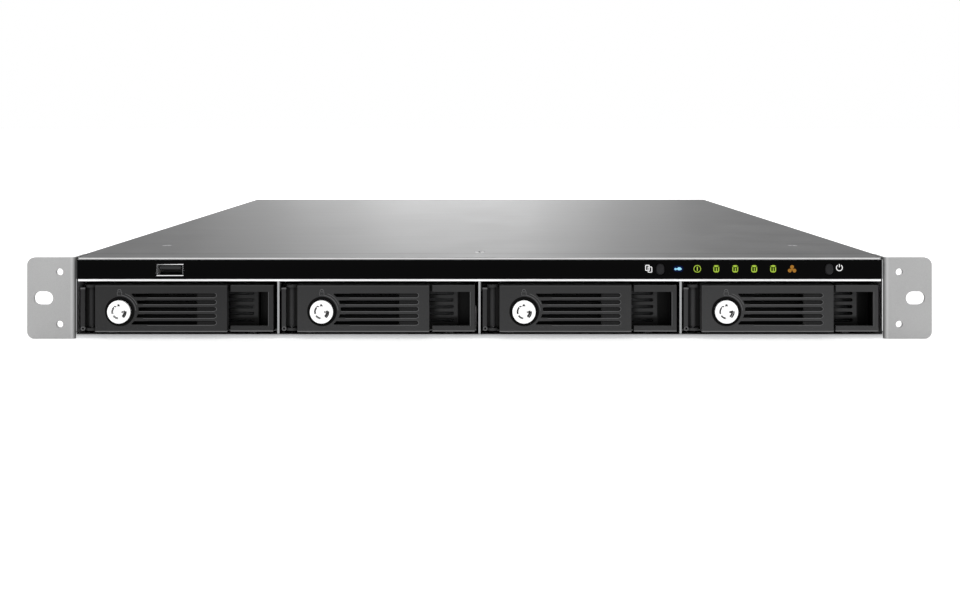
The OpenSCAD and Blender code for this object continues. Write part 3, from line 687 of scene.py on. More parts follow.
class Builder:
    """A mesh in the making. Its sizes are in millimetres and its outlines lie across Y."""

    def __init__(self) -> None:
        """Starts an empty mesh."""
        self.mesh = bmesh.new()

    def slab(self, outline: Outline, front: float, back: float) -> "Builder":
        """Adds a flat piece between two values of y."""
        return self.loft([(outline, front), (outline, back)])

    def walls(self, rings: list[Section], closed: bool) -> list[list[bmesh.types.BMVert]]:
        """Joins outlines of equal count.

        Args:
            rings: Each outline with its y.
            closed: Whether the last outline is joined to the first.

        Returns:
            The corners of each outline.
        """
        loops = [[self.mesh.verts.new((x * MM, y * MM, z * MM)) for x, z in outline] for outline, y in rings]
        for near, far in zip(loops, loops[1:] + loops[:closed]):
            for i in range(len(near)):
                j = (i + 1) % len(near)
                self.mesh.faces.new((near[i], near[j], far[j], far[i]))
        return loops

    def loft(self, rings: list[Section]) -> "Builder":
        """Adds a closed solid through outlines of equal count, from the front to the back."""
        loops = self.walls(rings, False)
        self.mesh.faces.new(loops[0][::-1])
        self.mesh.faces.new(loops[-1])
        return self

    def ring(self, outer: Outline, inner: Outline, front: float, back: float) -> "Builder":
        """Adds a frame between two outlines of equal count.

        Args:
            outer: The outside outline.
            inner: The inside outline.
            front: The y of the front face.
            back: The y of the back face.

        Returns:
            The builder.
        """
        self.walls([(outer, front), (outer, back), (inner, back), (inner, front)], True)
        return self

    def box(self, low: Colour, high: Colour) -> "Builder":
        """Adds a box between two corners."""
        outline = [(low[0], low[2]), (high[0], low[2]), (high[0], high[2]), (low[0], high[2])]
        return self.loft([(outline, low[1]), (outline, high[1])])

    def turned_up(self) -> "Builder":
        """Turns the mesh so that what faced the front faces up."""
        self.mesh.transform(Matrix.Rotation(math.radians(-90), 4, "X"))
        return self

    def moved(self, x: float, y: float, z: float) -> "Builder":
        """Moves the whole mesh by millimetres."""
        self.mesh.transform(Matrix.Translation((x * MM, y * MM, z * MM)))
        return self

    def piece(self, name: str, finish: Finish, body: str, smooth: float = 40.0) -> Piece:
        """Ends the mesh as a piece of the object.

        Args:
            name: The piece's name.
            finish: Its finish.
            body: The body that it rides on.
            smooth: Edges flatter than this angle, in degrees, look round.

        Returns:
            The piece.
        """
        bmesh.ops.recalc_face_normals(self.mesh, faces=self.mesh.faces)
        data = bpy.data.meshes.new(name)
        self.mesh.to_mesh(data)
        self.mesh.free()
        return settle(name, data, finish, body, smooth)


def placed(name: str, data: bpy.types.ID) -> Piece:
    """Returns a new object of the scene that shows this data."""
    made = bpy.data.objects.new(name, data)
    bpy.context.scene.collection.objects.link(made)
    return made


def settle(name: str, data: bpy.types.Mesh, finish: Finish, body: str, smooth: float = 40.0) -> Piece:
    """Makes a mesh a piece, with its finish, its body and its smooth shading.

    Args:
        name: The piece's name.
        data: Its mesh, with its place in it.
        finish: Its finish.
        body: The body that it rides on.
        smooth: Edges flatter than this angle, in degrees, look round.

    Returns:
        The piece.
    """
    piece = placed(name, data)
    if not data.materials:
        data.materials.append(finish.material())
    data.shade_smooth()
    data.set_sharp_from_angle(angle=math.radians(smooth))
    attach(piece, body)
    return piece


def copied(node: str, name: str, finish: Finish, bevel_mm: float = 0.0) -> Piece:
    """Makes a clean copy of a CAD node that stands for it.

    Args:
        node: The CAD node.
        name: The copy's name.
        finish: Its finish.
        bevel_mm: The rounding of its edges.

    Returns:
        The piece.
    """
    source = frame["nodes"][node]
    data = bpy.data.meshes.new(name)
    mesh = bmesh.new()
    mesh.from_mesh(source.data)
    bmesh.ops.remove_doubles(mesh, verts=mesh.verts, dist=MERGE_M)
    bmesh.ops.dissolve_limit(mesh, angle_limit=FLAT_ANGLE, verts=mesh.verts, edges=mesh.edges)
    mesh.to_mesh(data)
    mesh.free()
    piece = settle(name, data, finish, source["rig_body"], 35.0)
    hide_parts(node)
    if bevel_mm:
        round_edges(piece, bevel_mm)
    return piece


def round_edges(piece: Piece, width_mm: float, steps: int = 2) -> None:
    """Rounds a piece's sharp edges without a change to its mesh.

    Args:
        piece: The piece.
        width_mm: The rounding's width.
        steps: The steps in it.
    """
    bevel = piece.modifiers.new("rounding", "BEVEL")
    bevel.width, bevel.segments = width_mm * MM, steps
    bevel.limit_method, bevel.angle_limit = "ANGLE", EDGE_ANGLE


def span(node: str) -> tuple[Vector, Vector]:
    """Returns a node's lowest and highest corner in millimetres."""
    low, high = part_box(node)
    return low / MM, high / MM


def centre(node: str) -> tuple[float, float]:
    """Returns the x and z of a node's middle in millimetres."""
    low, high = span(node)
    return (low.x + high.x) / 2, (low.z + high.z) / 2


def bay_pitch() -> float:
    """Returns the distance from one bay to the next in millimetres."""
    return (span("tray_2_drive")[0] - span("tray_1_drive")[0]).x


# ---- Repeats ----


class Unit(Enum):
    """The small shape that a repeat is made of."""

    ROUND = "GeometryNodeMeshCylinder"
    BLOCK = "GeometryNodeMeshCube"


@dataclass
class Repeat:
    """A grid of small equal shapes, made by a node tree.

    Attributes:
        name: The piece's name.
        unit: The shape.
        size: The shape's size along X, Y and Z, in millimetres.
        start: The centre of the first one.
        step: The distance from one to the next along the row and along the column.
        count: How many there are along the row and along the column.
        upright: Whether a round shape's axis is along Z, and not Y.
        rise: Whether the columns run along Z, and not Y.
    """

    name: str
    unit: Unit
    size: Colour
    start: Colour
    step: Point
    count: tuple[int, int]
    upright: bool = True
    rise: bool = False

    def tree(self, material: bpy.types.Material) -> bpy.types.NodeTree:
        """Builds the node tree.

        Args:
            material: The material that the shapes get.

        Returns:
            The tree, with named inputs for its sizes.
        """
        tree = bpy.data.node_groups.new(self.name, "GeometryNodeTree")
        face = tree.interface
        face.new_socket("Geometry", in_out="OUTPUT", socket_type="NodeSocketGeometry")
        for label, kind in (("Row count", "Int"), ("Column count", "Int"), ("Row step", "Float"),
                            ("Column step", "Float"), ("Size", "Vector"), ("Start", "Vector")):
            face.new_socket(label, in_out="INPUT", socket_type=f"NodeSocket{kind}")
        given = tree.nodes.new("NodeGroupInput").outputs

        def add(kind: str, **inputs: object) -> Socket:
            """Adds a node, with a link or a value for each input, and returns its first output."""
            node = tree.nodes.new(kind)
            for name, value in inputs.items():
                socket = node.inputs[name.replace("_", " ")]
                if isinstance(value, Socket):
                    tree.links.new(value, socket)
                else:
                    socket.default_value = value
            return node.outputs[0]

        unit_size = {"Vertices": ROUND_SIDES, "Radius": 0.5, "Depth": 1.0} if self.unit is Unit.ROUND else {}
        tilt = (0.0 if self.upright else math.pi / 2, 0.0, 0.0)
        shape = add("GeometryNodeTransform", Geometry=add(self.unit.value, **unit_size), Rotation=tilt)
        shape = add("GeometryNodeTransform", Geometry=shape, Scale=given["Size"])
        for way, axis, begin in (("Row", "X", {}), ("Column", "Z" if self.rise else "Y",
                                                    {"Start_Location": given["Start"]})):
            offset = add("ShaderNodeCombineXYZ", **{axis: given[f"{way} step"]})
            line = add("GeometryNodeMeshLine", Offset=offset, Count=given[f"{way} count"], **begin)
            shape = add("GeometryNodeInstanceOnPoints", Points=line, Instance=shape)
        shape = add("GeometryNodeRealizeInstances", Geometry=shape)
        shape = add("GeometryNodeSetMaterial", Geometry=shape, Material=material)
        tree.links.new(shape, tree.nodes.new("NodeGroupOutput").inputs[0])
        return tree

    def piece(self, finish: Finish, body: str, bevel_mm: float = 0.0) -> Piece:
        """Makes the repeat a plain mesh on a body.

        Args:
            finish: Its finish.
            body: The body that it rides on.
            bevel_mm: The rounding of each shape's edges.

        Returns:
            The piece.
        """
        holder = placed(self.name + "_holder", bpy.data.meshes.new(self.name + "_holder"))
        modifier = holder.modifiers.new("repeat", "NODES")
        modifier.node_group = self.tree(finish.material())
        values = {"Row count": self.count[0], "Column count": self.count[1], "Row step": self.step[0] * MM,
                  "Column step": self.step[1] * MM, "Size": [side * MM for side in self.size],
                  "Start": [place * MM for place in self.start]}
        for socket in modifier.node_group.interface.items_tree:
            if socket.in_out == "INPUT":
                modifier[socket.identifier] = values[socket.name]
        bpy.context.view_layer.update()
        data = bpy.data.meshes.new_from_object(holder.evaluated_get(bpy.context.evaluated_depsgraph_get()))
        bpy.data.objects.remove(holder)
        made = settle(self.name, data, finish, body)
        if bevel_mm:
            round_edges(made, bevel_mm, 1)
        return made


# ---- Sub-assemblies ----


@dataclass
class Assembly:
    """A group of pieces that are built together.

    Attributes:
        body: The body that they ride on.
        name: The start of their names.
        pieces: What has been built so far.
    """

    body: str = "chassis"
    name: str = ""
    pieces: list[Piece] = field(default_factory=list)

    def keep(self, *pieces: Piece) -> None:
        """Adds pieces to the list."""
        self.pieces.extend(pieces)

    def flat(self, name: str, finish: Finish, depths: Point, *shapes: Outline | tuple[Outline, Outline],
             body: str = "") -> None:
        """Adds a piece made of flat shapes.

        Args:
            name: The piece's name, after the group's.
            finish: Its finish.
            depths: The y of its front and its back.
            shapes: Its shapes, each an outline, or an outer and an inner one.
            body: The body that it rides on, where it isn't the group's.
        """
        made = Builder()
        for shape in shapes:
            if isinstance(shape, tuple):
                made.ring(*shape, *depths)
            else:
                made.slab(shape, *depths)
        self.keep(made.piece(self.name + name, finish, body or self.body))

    def dress(self, finish: Finish, bevel_mm: float, *nodes: str) -> None:
        """Finishes CAD nodes that are shown as they are.

        Args:
            finish: Their finish.
            bevel_mm: The rounding of their edges.
            nodes: The CAD nodes.
        """
        for node in nodes:
            shown = frame["nodes"][node]
            shown.data.materials.clear()
            shown.data.materials.append(finish.material())
            if bevel_mm:
                shown.modifiers.new("weld", "WELD").merge_threshold = MERGE_M
                flat = shown.modifiers.new("flat", "DECIMATE")
                flat.decimate_type, flat.angle_limit = "DISSOLVE", FLAT_ANGLE
                round_edges(shown, bevel_mm)
            self.keep(shown)

    def build(self) -> None:
        """Builds every piece."""
        raise NotImplementedError


@dataclass
class Case(Assembly):
    """The folded steel case, its ears and its screws.

    Attributes:
        sheet_bevel: The rounding of a cut sheet's edges.
        rivet: The width and height of a rivet's head.
    """

    sheet_bevel: float = 0.18
    rivet: Point = (3.6, 0.1)

    def build(self) -> None:
        """Builds every piece."""
        self.dress(PANEL, 0.0, "rear_panel")
        self.dress(ZINC, self.sheet_bevel, "drive_shelf")
        self.dress(BASE, self.sheet_bevel, "chassis_base")
        self.dress(DIVIDER, self.sheet_bevel, "bay_dividers")
        self.dress(COVER, self.sheet_bevel, "top_cover", "front_top_rail")
        self.dress(EAR, 0.3, "ear_left", "ear_right")
        self.dress(HEAD, 0.1, "case_screws")
        self.dividers()
        self.fold()

    def dividers(self) -> None:
        """Adds the folded tab at the top of each divider's front edge, and the rivets under the case."""
        low, high = span("bay_dividers")
        middle, pitch = centre("bay_dividers")[0], bay_pitch()
        tabs = Builder()
        for x in (middle - pitch, middle, middle + pitch):
            tabs.box((x + 0.6, low.y, high.z - 5.2), (x + 1.3, low.y + 6.0, high.z - 0.05))
        width, height = self.rivet
        rivets = Repeat("divider_rivets", Unit.ROUND, (width, width, height),
                        (middle - pitch, low.y + 20, 0.0), (pitch, 45), (3, 4))
        self.keep(tabs.piece("divider_tabs", DIVIDER, self.body), rivets.piece(SCREW, self.body))

    def fold(self) -> None:
        """Adds a pale strip painted as the highlight on the crest of the fold where the fixed strip turns
        down to the control strip.
        """
        low, high = span("front_top_rail")
        # A pale strip painted as the highlight on the fold's crest.
        crest = Builder()
        crest.box((low.x + 0.6, low.y - 0.03, high.z - 0.85), (high.x - 0.6, low.y + 0.12, high.z - 0.3))
        self.keep(crest.piece("front_rail_fold_highlight", FOLD_HIGHLIGHT, self.body))


@dataclass
class ControlStrip(Assembly):
    """The glossy strip over the bays, with its marks, lamps, buttons and socket.

    Attributes:
        mark_height: The height of a drive lamp's mark.
        proud: How far a mark stands in front of the strip.
        cap: The width and height of a button's cap.
    """

    mark_height: float = 3.9
    proud: float = 0.04
    cap: Point = (4.4, 6.0)

    def build(self) -> None:
        """Builds every piece."""
        self.front = span("front_bezel")[0].y
        self.dress(BEZEL, 0.12, "front_bezel")
        self.dress(PIPE, 0.0, "light_pipes")
        self.lamps()
        self.printed()
        self.buttons()
        self.socket()

    def mark(self, name: str, finish: Finish, *shapes: Outline | tuple[Outline, Outline],
             lift: float = 0.0) -> None:
        """Adds one flat mark on the strip, which may stand out further than the others."""
        self.flat(name, finish, (self.front - self.proud - lift, self.front + 0.1), *shapes)

    def lamps(self) -> None:
        """Adds the lit marks, from the left: link, status, the drives and the network."""
        low, high = span("light_pipes")
        z = (low.z + high.z) / 2
        first, last = low.x + (high.z - low.z) / 2, high.x - (high.z - low.z) / 2
        link, status, *drives, network = (first + (last - first) / 6 * k for k in range(7))
        self.mark("link_halo", LIT_HALO, outline_box(5.4, 3.2, 1.55, (link, z)), lift=-0.02)
        self.mark("link_lamp", LIT_BLUE, outline_box(3.6, 0.7, 0.3, (link, z - 0.1)),
                  outline_circle(0.62, (link - 1.5, z - 0.15), 20),
                  outline_box(2.0, 1.6, 0.75, (link + 0.5, z)))
        self.mark("status_lamp", LIT_GREEN,
                  (outline_circle(2.0, (status, z)), outline_circle(1.62, (status, z))),
                  outline_box(0.5, 2.3, 0.2, (status, z)))
        for number, x in enumerate(drives, 1):
            self.mark(f"drive_lamp_{number}", LIT_GREEN, outline_box(3.1, self.mark_height, 1.15, (x, z)))
            self.mark(f"drive_lamp_{number}_detail", LIT_DEEP,
                      arc_band(2.4, 0.42, 222, 318, (x, z + 3.1), 12),
                      outline_box(0.9, 1.9, 0.3, (x - 0.6, z - 0.35)),
                      outline_box(0.7, 1.9, 0.2, (x + 0.65, z - 0.35)), lift=0.01)
        x = network
        self.mark("network_lamp", LIT_AMBER, outline_circle(1.0, (x, z + 1.0), 24),
                  outline_box(0.5, 1.4, 0.1, (x, z - 0.1)), outline_box(3.0, 0.5, 0.1, (x, z - 0.3)))
        self.mark("network_lamp_ends", LIT_AMBER, outline_circle(1.0, (x - 1.25, z - 0.95), 24),
                  outline_circle(1.0, (x + 1.25, z - 0.95), 24), lift=0.005)

    def printed(self) -> None:
        """Adds the printed marks beside the buttons: two sheets, and an on-off ring."""
        x, z = span("copy_button")[0].x - 3.4, centre("copy_button")[1] + 0.35
        pages = ((x - 0.65, z + 0.45), (x + 0.65, z - 0.45))
        self.mark("copy_mark", PRINT,
                  *((outline_box(2.4, 3.2, 0.5, page), outline_box(1.6, 2.4, 0.2, page)) for page in pages))
        x, z = span("power_button")[1].x + 2.5, centre("power_button")[1] + 0.85
        self.mark("power_mark", PRINT, arc_band(1.6, 0.40, 122, 418, (x, z), 40))
        self.mark("power_mark_bar", PRINT, outline_box(0.42, 1.8, 0.2, (x, z + 1.1)), lift=0.01)

    def buttons(self) -> None:
        """Replaces the buttons with crowned caps."""
        wide, tall = self.cap
        for node in ("copy_button", "power_button"):
            low, high = span(node)
            rings = []
            for share, y in ((0.25, low.y), (0.6, low.y + 0.08), (0.82, low.y + 0.24), (0.95, low.y + 0.5),
                             (1.0, low.y + 0.9), (1.0, high.y - 2.0)):
                outline = outline_box(wide * share, tall * share, wide * share * 0.499, centre(node), 10)
                rings.append((outline, y))
            cap = Builder().loft(rings).piece(node + "_cap", CAP, node, 60)
            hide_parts(node)
            self.keep(cap)

    def socket(self) -> None:
        """Splits the front socket into its bright shell and its black tongue, with painted shade on its inner
        walls, and adds a black strip painted as the shadow on its far edge.
        """
        shell = copied("front_usb_port", "front_usb_shell", SHELL, 0.1)
        shell.data.materials.append(BLACK.material())
        shell.data.materials.append(SHADE_BLACK.material())
        low, high = span("front_usb_port")
        x, z = centre("front_usb_port")
        # Painted shade: the inside faces turn near black, all but those that face right, and the tongue's
        # front is plain black.
        for face in shell.data.polygons:
            middle = face.center / MM
            tongue = abs(middle.x - x) < 5.7 and z + 0.15 < middle.z < z + 2.05
            inside = abs(middle.x - x) < 6.9 and abs(middle.z - z) < 2.9
            lit = face.normal.x > 0.9 and not tongue
            if (tongue or inside and middle.y > low.y + 0.02) and not lit and middle.y < high.y - 0.5:
                face.material_index = 1 if tongue and face.normal.y < -0.5 else 2
        # A black strip painted as the shadow on the socket's far edge.
        edge = Builder().box((high.x - 0.42, low.y - 0.02, low.z + 0.45),
                             (high.x - 0.02, low.y + 0.3, high.z - 0.45))
        pads = Repeat("front_usb_contacts", Unit.BLOCK, (1.2, 7.0, 0.12), (x - 3.5, low.y + 6.0, z + 0.18),
                      (2.45, 1.0), (4, 1))
        self.keep(shell, edge.piece("front_usb_far_edge_shadow", BLACK, self.body), pads.piece(GOLD, self.body))


@dataclass
class Tray(Assembly):
    """One drive tray with its lever, its lock and its drive.

    Attributes:
        number: Which bay it is in, counted from the left.
        edge: The rounding of the mouldings' edges.
        well_radius: The outer radius of the black ring painted as the shade round the lock.
        well_shift: How far the ring's outer edge sits off the lock's axis, so that the painted shadow is
            wider at the top right.
        tones: How light each tray's plastic is, by the tray's number.
        groove_x: Where the slots start, turn into grooves and end, from the lever's left end.
        vent_rise: How far the slots' middle is over the lock's axis.
        vent_pitch: The distance from one slot to the next.
        vent_height: The height of a slot.
    """

    number: int = 1
    edge: float = 0.22
    well_radius: float = 7.85
    well_shift: Point = (0.15, 0.1)
    tones: tuple[float, ...] = (1.0, 0.95, 1.3, 1.3, 1.55)
    groove_x: Colour = (32.2, 63.3, 72.3)
    vent_rise: float = 1.35
    vent_pitch: float = 3.65
    vent_height: float = 1.87

    def build(self) -> None:
        """Builds every piece."""
        self.body = f"tray_{self.number}"
        self.lever = f"lever_{self.number}"
        self.name = self.body + "_"
        self.face = span(self.name + "lever")[0].y
        self.lock = centre(self.name + "lock_shell")
        colour = shade(TRAY.colour, self.tones[self.number])
        plastic = replace(TRAY, name=f"{TRAY.name}_{self.number}", colour=colour)
        self.dress(plastic, self.edge, self.name + "front")
        self.dress(plastic, self.edge / 2, self.name + "lever")
        self.dress(CARRIER, 0.12, self.name + "carrier")
        self.dress(SCREW, 0.08, self.name + "pin_and_screws")
        self.dress(LOCK, 0.35, self.name + "lock_shell")
        self.dress(LOCK, 0.15, self.name + "lock_core")
        self.lock_pieces()
        self.lever_marks()
        self.groove_rim_highlights()
        self.edges()
        self.drive()

    def lock_pieces(self) -> None:
        """Adds a black ring painted as the shade in the well that the lock sits in, its keyway, and its
        core's lugs and notches, the keyway's floor and the notches dark with painted shade.
        """
        depth = span(self.name + "lock_shell")[0].y
        well = (self.lock[0] + self.well_shift[0], self.lock[1] + self.well_shift[1])
        core = f"lock_{self.number}"
        # Painted shade: a black ring fills the lock's well, wider at the top right.
        self.flat("lock_shade_ring", SHADE_BLACK, (self.face - 0.03, self.face + 1.15),
                  (outline_circle(self.well_radius, well, 64), outline_circle(6.2, self.lock, 64)),
                  body=self.lever)
        # Painted shade on the keyway's floor, and below on the notches.
        self.flat("lock_keyway", KEYWAY, (depth + 1.1, depth + 1.6),
                  (outline_circle(3.48, self.lock, 48), outline_circle(2.47, self.lock, 48)), body=core)
        lugs = ((14, 76), (106, 114), (128, 140), (200, 214), (264, 304))
        self.flat("lock_lugs", LOCK, (depth + 0.25, depth + 1.2), arc_band(2.72, 0.5, 14, 306, self.lock, 40),
                  *(arc_band(3.2, 0.52, *turns, self.lock, 10) for turns in lugs), body=core)
        notches = ((3.87, 0.7, -50, 6), (3.82, 0.6, 84, 100), (3.72, 0.4, 118, 196), (3.7, 0.34, 214, 262))
        self.flat("lock_notches", KEYWAY, (depth - 0.03, depth + 0.4),
                  *(arc_band(*notch, self.lock, 14) for notch in notches), body=self.lever)

    def lever_marks(self) -> None:
        """Adds the raised arcs and the padlock beside the lock; the outer arc is a painted highlight along
        the slots' curved ends.
        """
        x, z = self.lock
        # Painted highlight: the arc at 9.9 mm follows the slots' curved ends.
        self.flat("lever_marks", MARK_AND_HIGHLIGHT, (self.face - 0.09, self.face + 0.1),
                  arc_band(8.7, 0.3, 4, 86, self.lock), arc_band(9.9, 0.22, 22, 72, self.lock),
                  (outline_box(2.6, 2.0, 0.2, (x, z + 9.6)), outline_box(2.15, 1.55, 0.1, (x, z + 9.6))),
                  arc_band(0.9, 0.3, 0, 180, (x, z + 10.9), 12), body=self.lever)

    def edges(self) -> None:
        """Adds pale marks painted as the highlights on the claw's ends at the left, and a fine pale strip
        painted as the highlight at the right of the finger pocket.
        """
        low, high = span(self.name + "lever")
        claw, ends = low.x + 1.1, Builder()
        ends.box((claw - 1.2, low.y + 3.3, high.z - 2.7), (claw + 1.3, low.y + 4.4, high.z - 1.9))
        eye = (claw + 0.2, low.z + 1.2)
        ends.ring(outline_circle(1.2, eye, 20), outline_circle(0.62, eye, 20), low.y + 3.2, low.y + 4.4)
        front, corner = span(self.name + "front")
        rim_highlight = Builder().box((corner.x - 2.6, front.y - 0.02, low.z + 3.0),
                            (corner.x - 2.34, front.y + 0.1, corner.z - 3.4))
        # Both pieces are pale strips painted as highlights.
        self.keep(ends.piece(self.name + "claw_end_highlights", MARK_AND_HIGHLIGHT, self.body),
                  rim_highlight.piece(self.name + "pocket_rim_highlight", MARK_AND_HIGHLIGHT, self.body))

    def groove_rim_highlights(self) -> None:
        """Adds pale strips painted as highlights under the lever's slots and round the ends of its grooves,
        and black strips painted as shade along their edges.
        """
        rims, shades = [], []
        start, turn, end = (span(self.name + "lever")[0].x + edge for edge in self.groove_x)
        half = self.vent_height / 2
        for row in range(-2, 3):
            z = self.lock[1] + self.vent_rise + row * self.vent_pitch
            first = start + 2.2 * abs(row)
            for made, left, right, low, high in (
                    (rims, first, end, z - half - 0.52, z - half - 0.26),
                    (shades, first, turn, z - half - 0.2, z - half + 0.04),
                    (shades, first + 0.5, turn, z + half - 0.04, z + half + 0.12),
                    (shades, turn, end, z + half - 0.32, z + half + 0.02)):
                made.append([(left, low), (right, low), (right, high), (left, high)])
            rims.append(arc_band(half + 0.1, 0.26, -88, 80, (end, z), 10))
            shades.append(arc_band(half - 0.12, 0.24, 20, 88, (end, z), 8))
        # The pale strips are painted highlights, and the black ones painted shade.
        for name, finish, shapes in (("groove_rim_highlights", MARK_AND_HIGHLIGHT, rims), ("groove_shades", SHADE_BLACK, shades)):
            self.flat(name, finish, (self.face - 0.02, self.face + 0.1), *shapes, body=self.lever)

    def drive(self) -> None:
        """Gives the drive a bright lid over a dark casting, with its hub cover, label and screws."""
        made = copied(self.name + "drive", self.name + "drive_unit", CAST, 0.3)
        low, high = span(self.name + "drive")
        made.data.materials.append(ALLOY.material())
        for face in made.data.polygons:
            if face.center.z / MM > high.z - 1.62:
                face.material_index = 1
        x, y = (low.x + high.x) / 2, (low.y + high.y) / 2
        steps = ((1.0, 0.0), (13.0, 0.0), (14.2, 0.35), (14.4, 0.8))
        hub = Builder().loft([(outline_circle(radius, sides=48), depth) for radius, depth in steps])
        label = Builder().slab(outline_box(74.0, 88.0, 2.0), 0.0, 0.12)
        hub.turned_up().moved(x, y + 22, high.z + 0.35)
        label.turned_up().moved(x, y - 22, high.z + 0.08)
        screws = Repeat(self.name + "drive_lid_screws", Unit.ROUND, (5.0, 5.0, 0.6),
                        (low.x + 5.5, low.y + 6, high.z),
                        (high.x - low.x - 11, (high.y - low.y - 12) / 2), (2, 3))
        self.keep(made, hub.piece(self.name + "drive_hub_cover", ALLOY, self.body),
                  label.piece(self.name + "drive_label", LABEL, self.body),
                  screws.piece(SCREW, self.body, 0.15))


@dataclass
class Inside(Assembly):
    """What the case holds: boards, sockets, fans, heatsink and wires."""

    def build(self) -> None:
        """Builds every piece."""
        self.dress(GREEN, 0.0, "front_board", "backplane", "mainboard", "memory_module")
        self.dress(SINK, 0.1, "heatsink")
        self.dress(BLACK, 0.3, "fan_frames")
        self.dress(HARNESS, 0.0, "power_harness")
        self.dress(BLACK, 0.1, "reset_button", "fan_rotor_1", "fan_rotor_2", "fan_rotor_3", "psu_fan_rotor")
        self.sockets()
        self.mainboard_parts()

    def sockets(self) -> None:
        """Covers the drive sockets in black, with their gold contacts."""
        y = span("backplane")[0].y
        for number in TRAYS:
            x = span(f"tray_{number}_drive")[0].x + 15.2
            block = Builder().box((x - 0.1, y - 0.1, 3.9), (x + 38.1, y + 6.9, 8.3))
            pads = Repeat(f"drive_socket_{number}_contacts", Unit.BLOCK, (0.8, 4.0, 0.1),
                          (x + 2.0, y + 2.3, 8.33), (1.27, 1.0), (22, 1))
            self.keep(block.piece(f"drive_socket_{number}", BLACK, self.body), pads.piece(GOLD, self.body))

    def mainboard_parts(self) -> None:
        """Adds the small parts on the main board."""
        low = span("mainboard")[0]
        for kind, unit, size, start, step, count, finish in (
                ("chips", Unit.BLOCK, (7.0, 7.0, 1.6), (170, 100, 2.3), (14, 16), (4, 4), CHIP),
                ("resistors", Unit.BLOCK, (2.0, 1.2, 0.8), (30, 150, 1.9), (5, 6), (18, 5), CHIP),
                ("capacitors", Unit.ROUND, (6.0, 6.0, 9.0), (16, 70, 6.0), (11, 11), (5, 2), SINK)):
            grid = Repeat(f"board_{kind}", unit, size, tuple(low + Vector(start)), step, count)
            self.keep(grid.piece(finish, self.body, 0.15))


@dataclass
class Rear(Assembly):
    """The rear's sockets and the power supply."""

    def build(self) -> None:
        """Builds every piece."""
        self.dress(PANEL, 0.15, "psu_case")
        self.dress(SCREW, 0.0, "psu_fan_guard")
        self.dress(SHELL, 0.08, "lan_ports")
        self.ports("rear_usb_ports", "esata_ports")
        self.inlet()
        self.contacts()
        self.psu_screws()

    def ports(self, *nodes: str) -> None:
        """Makes sockets bright at their rims and black inside."""
        for node in nodes:
            shell = copied(node, node + "_shells", SHELL)
            shell.data.materials.append(BLACK.material())
            for face in shell.data.polygons:
                face.material_index = int(face.center.y / MM < span(node)[1].y - 0.05)
            self.keep(shell)

    def inlet(self) -> None:
        """Splits the power inlet into its black moulding and its bright blades."""
        inlet = copied("psu_inlet", "power_inlet", BLACK, 0.25)
        low, high = span("psu_inlet")
        x, z = centre("psu_inlet")
        inlet.data.materials.append(SHELL.material())
        for face in inlet.data.polygons:
            middle = face.center / MM
            near = any(abs(middle.x - x - dx) < 1.06 and abs(middle.z - z - dz) < 2.06
                       for dx, dz in ((-7, -1.2), (0, 1.6), (7, -1.2)))
            if near and low.y + 5.0 < middle.y < high.y - 2.0:
                face.material_index = 1
        self.keep(inlet)

    def contacts(self) -> None:
        """Adds the network sockets' linings, contacts and lamps."""
        low, high = span("lan_ports")
        for number, x in enumerate((low.x + 7.9, high.x - 7.9), 1):
            name, floor = f"lan_socket_{number}_", low.z + 2.4
            lining = Builder().box((x - 6.0, high.y - 12.4, floor), (x + 6.0, high.y - 11.9, floor + 7.2))
            pins = Repeat(name + "contacts", Unit.BLOCK, (0.35, 8.0, 0.3),
                          (x - 3.55, high.y - 7.5, floor + 0.3), (1.016, 1.0), (8, 1))
            self.keep(lining.piece(name + "lining", BLACK, self.body), pins.piece(GOLD, self.body))
            for side, finish, place in ((-1, LIT_GREEN, "left"), (1, LIT_AMBER, "right")):
                lamp = Builder().slab(outline_box(2.2, 1.4, 0.3), -0.08, 0.2)
                lamp.mesh.transform(Matrix.Rotation(math.pi, 4, "Z"))
                lamp.moved(x + side * 5.2, high.y, low.z + 12.2)
                self.keep(lamp.piece(name + "lamp_" + place, finish, self.body))

    def psu_screws(self) -> None:
        """Adds the screws that hold the power supply to the rear panel."""
        low, high = span("psu_case")
        back = span("rear_panel")[1].y
        inset = 1.5
        screws = Repeat("psu_screws", Unit.ROUND, (2.6, 0.8, 2.6), (low.x + inset, back + 0.2, low.z + inset),
                        (high.x - low.x - 2 * inset, high.z - low.z - 2 * inset), (2, 2), False, True)
        self.keep(screws.piece(SCREW, self.body, 0.12))


# ---- The room ----


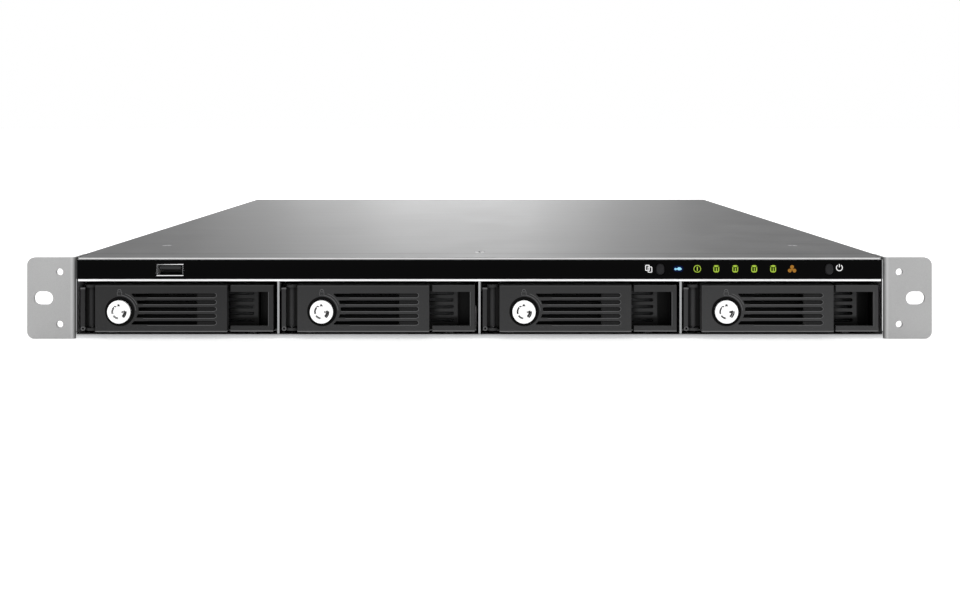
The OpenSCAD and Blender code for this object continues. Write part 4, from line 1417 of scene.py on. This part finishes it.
@dataclass
class Studio:
    """The floor, the lights and the camera.

    Attributes:
        lens: The camera's focal length in millimetres.
        shift: The camera's shift across and up.
        eye: The camera's place across, in front of the ears and over the case, in millimetres.
        reach: How far the floor goes each way, in metres.
        back_lamps: Name, x, y, width and power of the soft boxes that glance off the cover.
    """

    lens: float = 42.9
    shift: Point = (-0.0017, -0.1787)
    eye: Colour = (1.15, 610.0, 68.8)
    reach: float = 80.0
    back_lamps: tuple[tuple[str, float, float, float, float], ...] = (
        ("back_wide", -0.075, 1.66, 1.05, 5.0),
        ("back_middle", -0.075, 1.63, 0.69, 4.2),
        ("back_core", -0.05, 1.60, 0.39, 2.9),
    )

    def build(self) -> None:
        """Builds the room."""
        self.floor()
        self.sky()
        self.lamp("key", (0.0, -1.3, 1.5), (0.0, -0.1, 0.02), (1.8, 0.8), 3.0)
        for name, x, y, width, power in self.back_lamps:
            self.lamp(name, (x, y, 0.42), (0.0, 0.0, 0.04), (width, 0.6), power)
        self.camera()
        bpy.context.scene.view_settings.view_transform = "Standard"

    def floor(self) -> None:
        """Adds a plain pale floor."""
        data = bpy.data.meshes.new("floor")
        corners = [(x * self.reach, y * self.reach, 0) for x, y in ((-1, -1), (1, -1), (1, 1), (-1, 1))]
        data.from_pydata(corners, [], [range(4)])
        paint = Shader("floor_paint")
        paint.set(Base_Color=grey(0.93), Roughness=0.7, Specular_IOR_Level=0.2,
                  Emission_Color=(1.0, 1.0, 1.0), Emission_Strength=0.4)
        data.materials.append(paint.material)
        placed("floor", data)

    def sky(self) -> None:
        """Sets an even pale surround."""
        world = bpy.data.worlds.new("surround")
        bpy.context.scene.world = world
        world.use_nodes = True
        background = world.node_tree.nodes["Background"]
        background.inputs["Color"].default_value = (1.0, 1.0, 1.0, 1.0)
        background.inputs["Strength"].default_value = 1.0

    def lamp(self, name: str, place: Colour, target: Colour, size: Point, power: float) -> None:
        """Adds a soft box.

        Args:
            name: The lamp's name.
            place: Where it is, in metres.
            target: Where it points.
            size: Its width and height.
            power: Its power in watts.
        """
        data = bpy.data.lights.new(name, "AREA")
        data.shape = "RECTANGLE"
        data.size, data.size_y = size
        data.energy = power
        lamp = placed(name, data)
        lamp.location = place
        lamp.rotation_euler = (Vector(target) - Vector(place)).to_track_quat("-Z", "Y").to_euler()
        lamp.visible_camera = False

    def camera(self) -> None:
        """Adds the level camera in front of the case."""
        data = bpy.data.cameras.new("camera")
        data.lens = self.lens
        data.sensor_width = 36.0
        data.shift_x, data.shift_y = self.shift
        data.clip_start = 0.01
        camera = placed("camera", data)
        across, before, over = self.eye
        front, top = span("ear_left")[0].y, span("top_cover")[1].z
        camera.location = (across * MM, (front - before) * MM, (top + over) * MM)
        camera.rotation_euler = (math.pi / 2, 0.0, 0.0)
        bpy.context.scene.camera = camera


def main() -> None:
    """Builds the room and every sub-assembly, and writes the name of each piece."""
    logging.basicConfig(level=logging.INFO, format="%(message)s")
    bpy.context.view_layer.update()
    Studio().build()
    for assembly in (Case(), ControlStrip(), *(Tray(number=n) for n in TRAYS), Inside(), Rear()):
        assembly.build()
        for piece in assembly.pieces:
            LOG.info("%s: %s", type(assembly).__name__, piece.name)


if __name__ == "__main__":
    main()
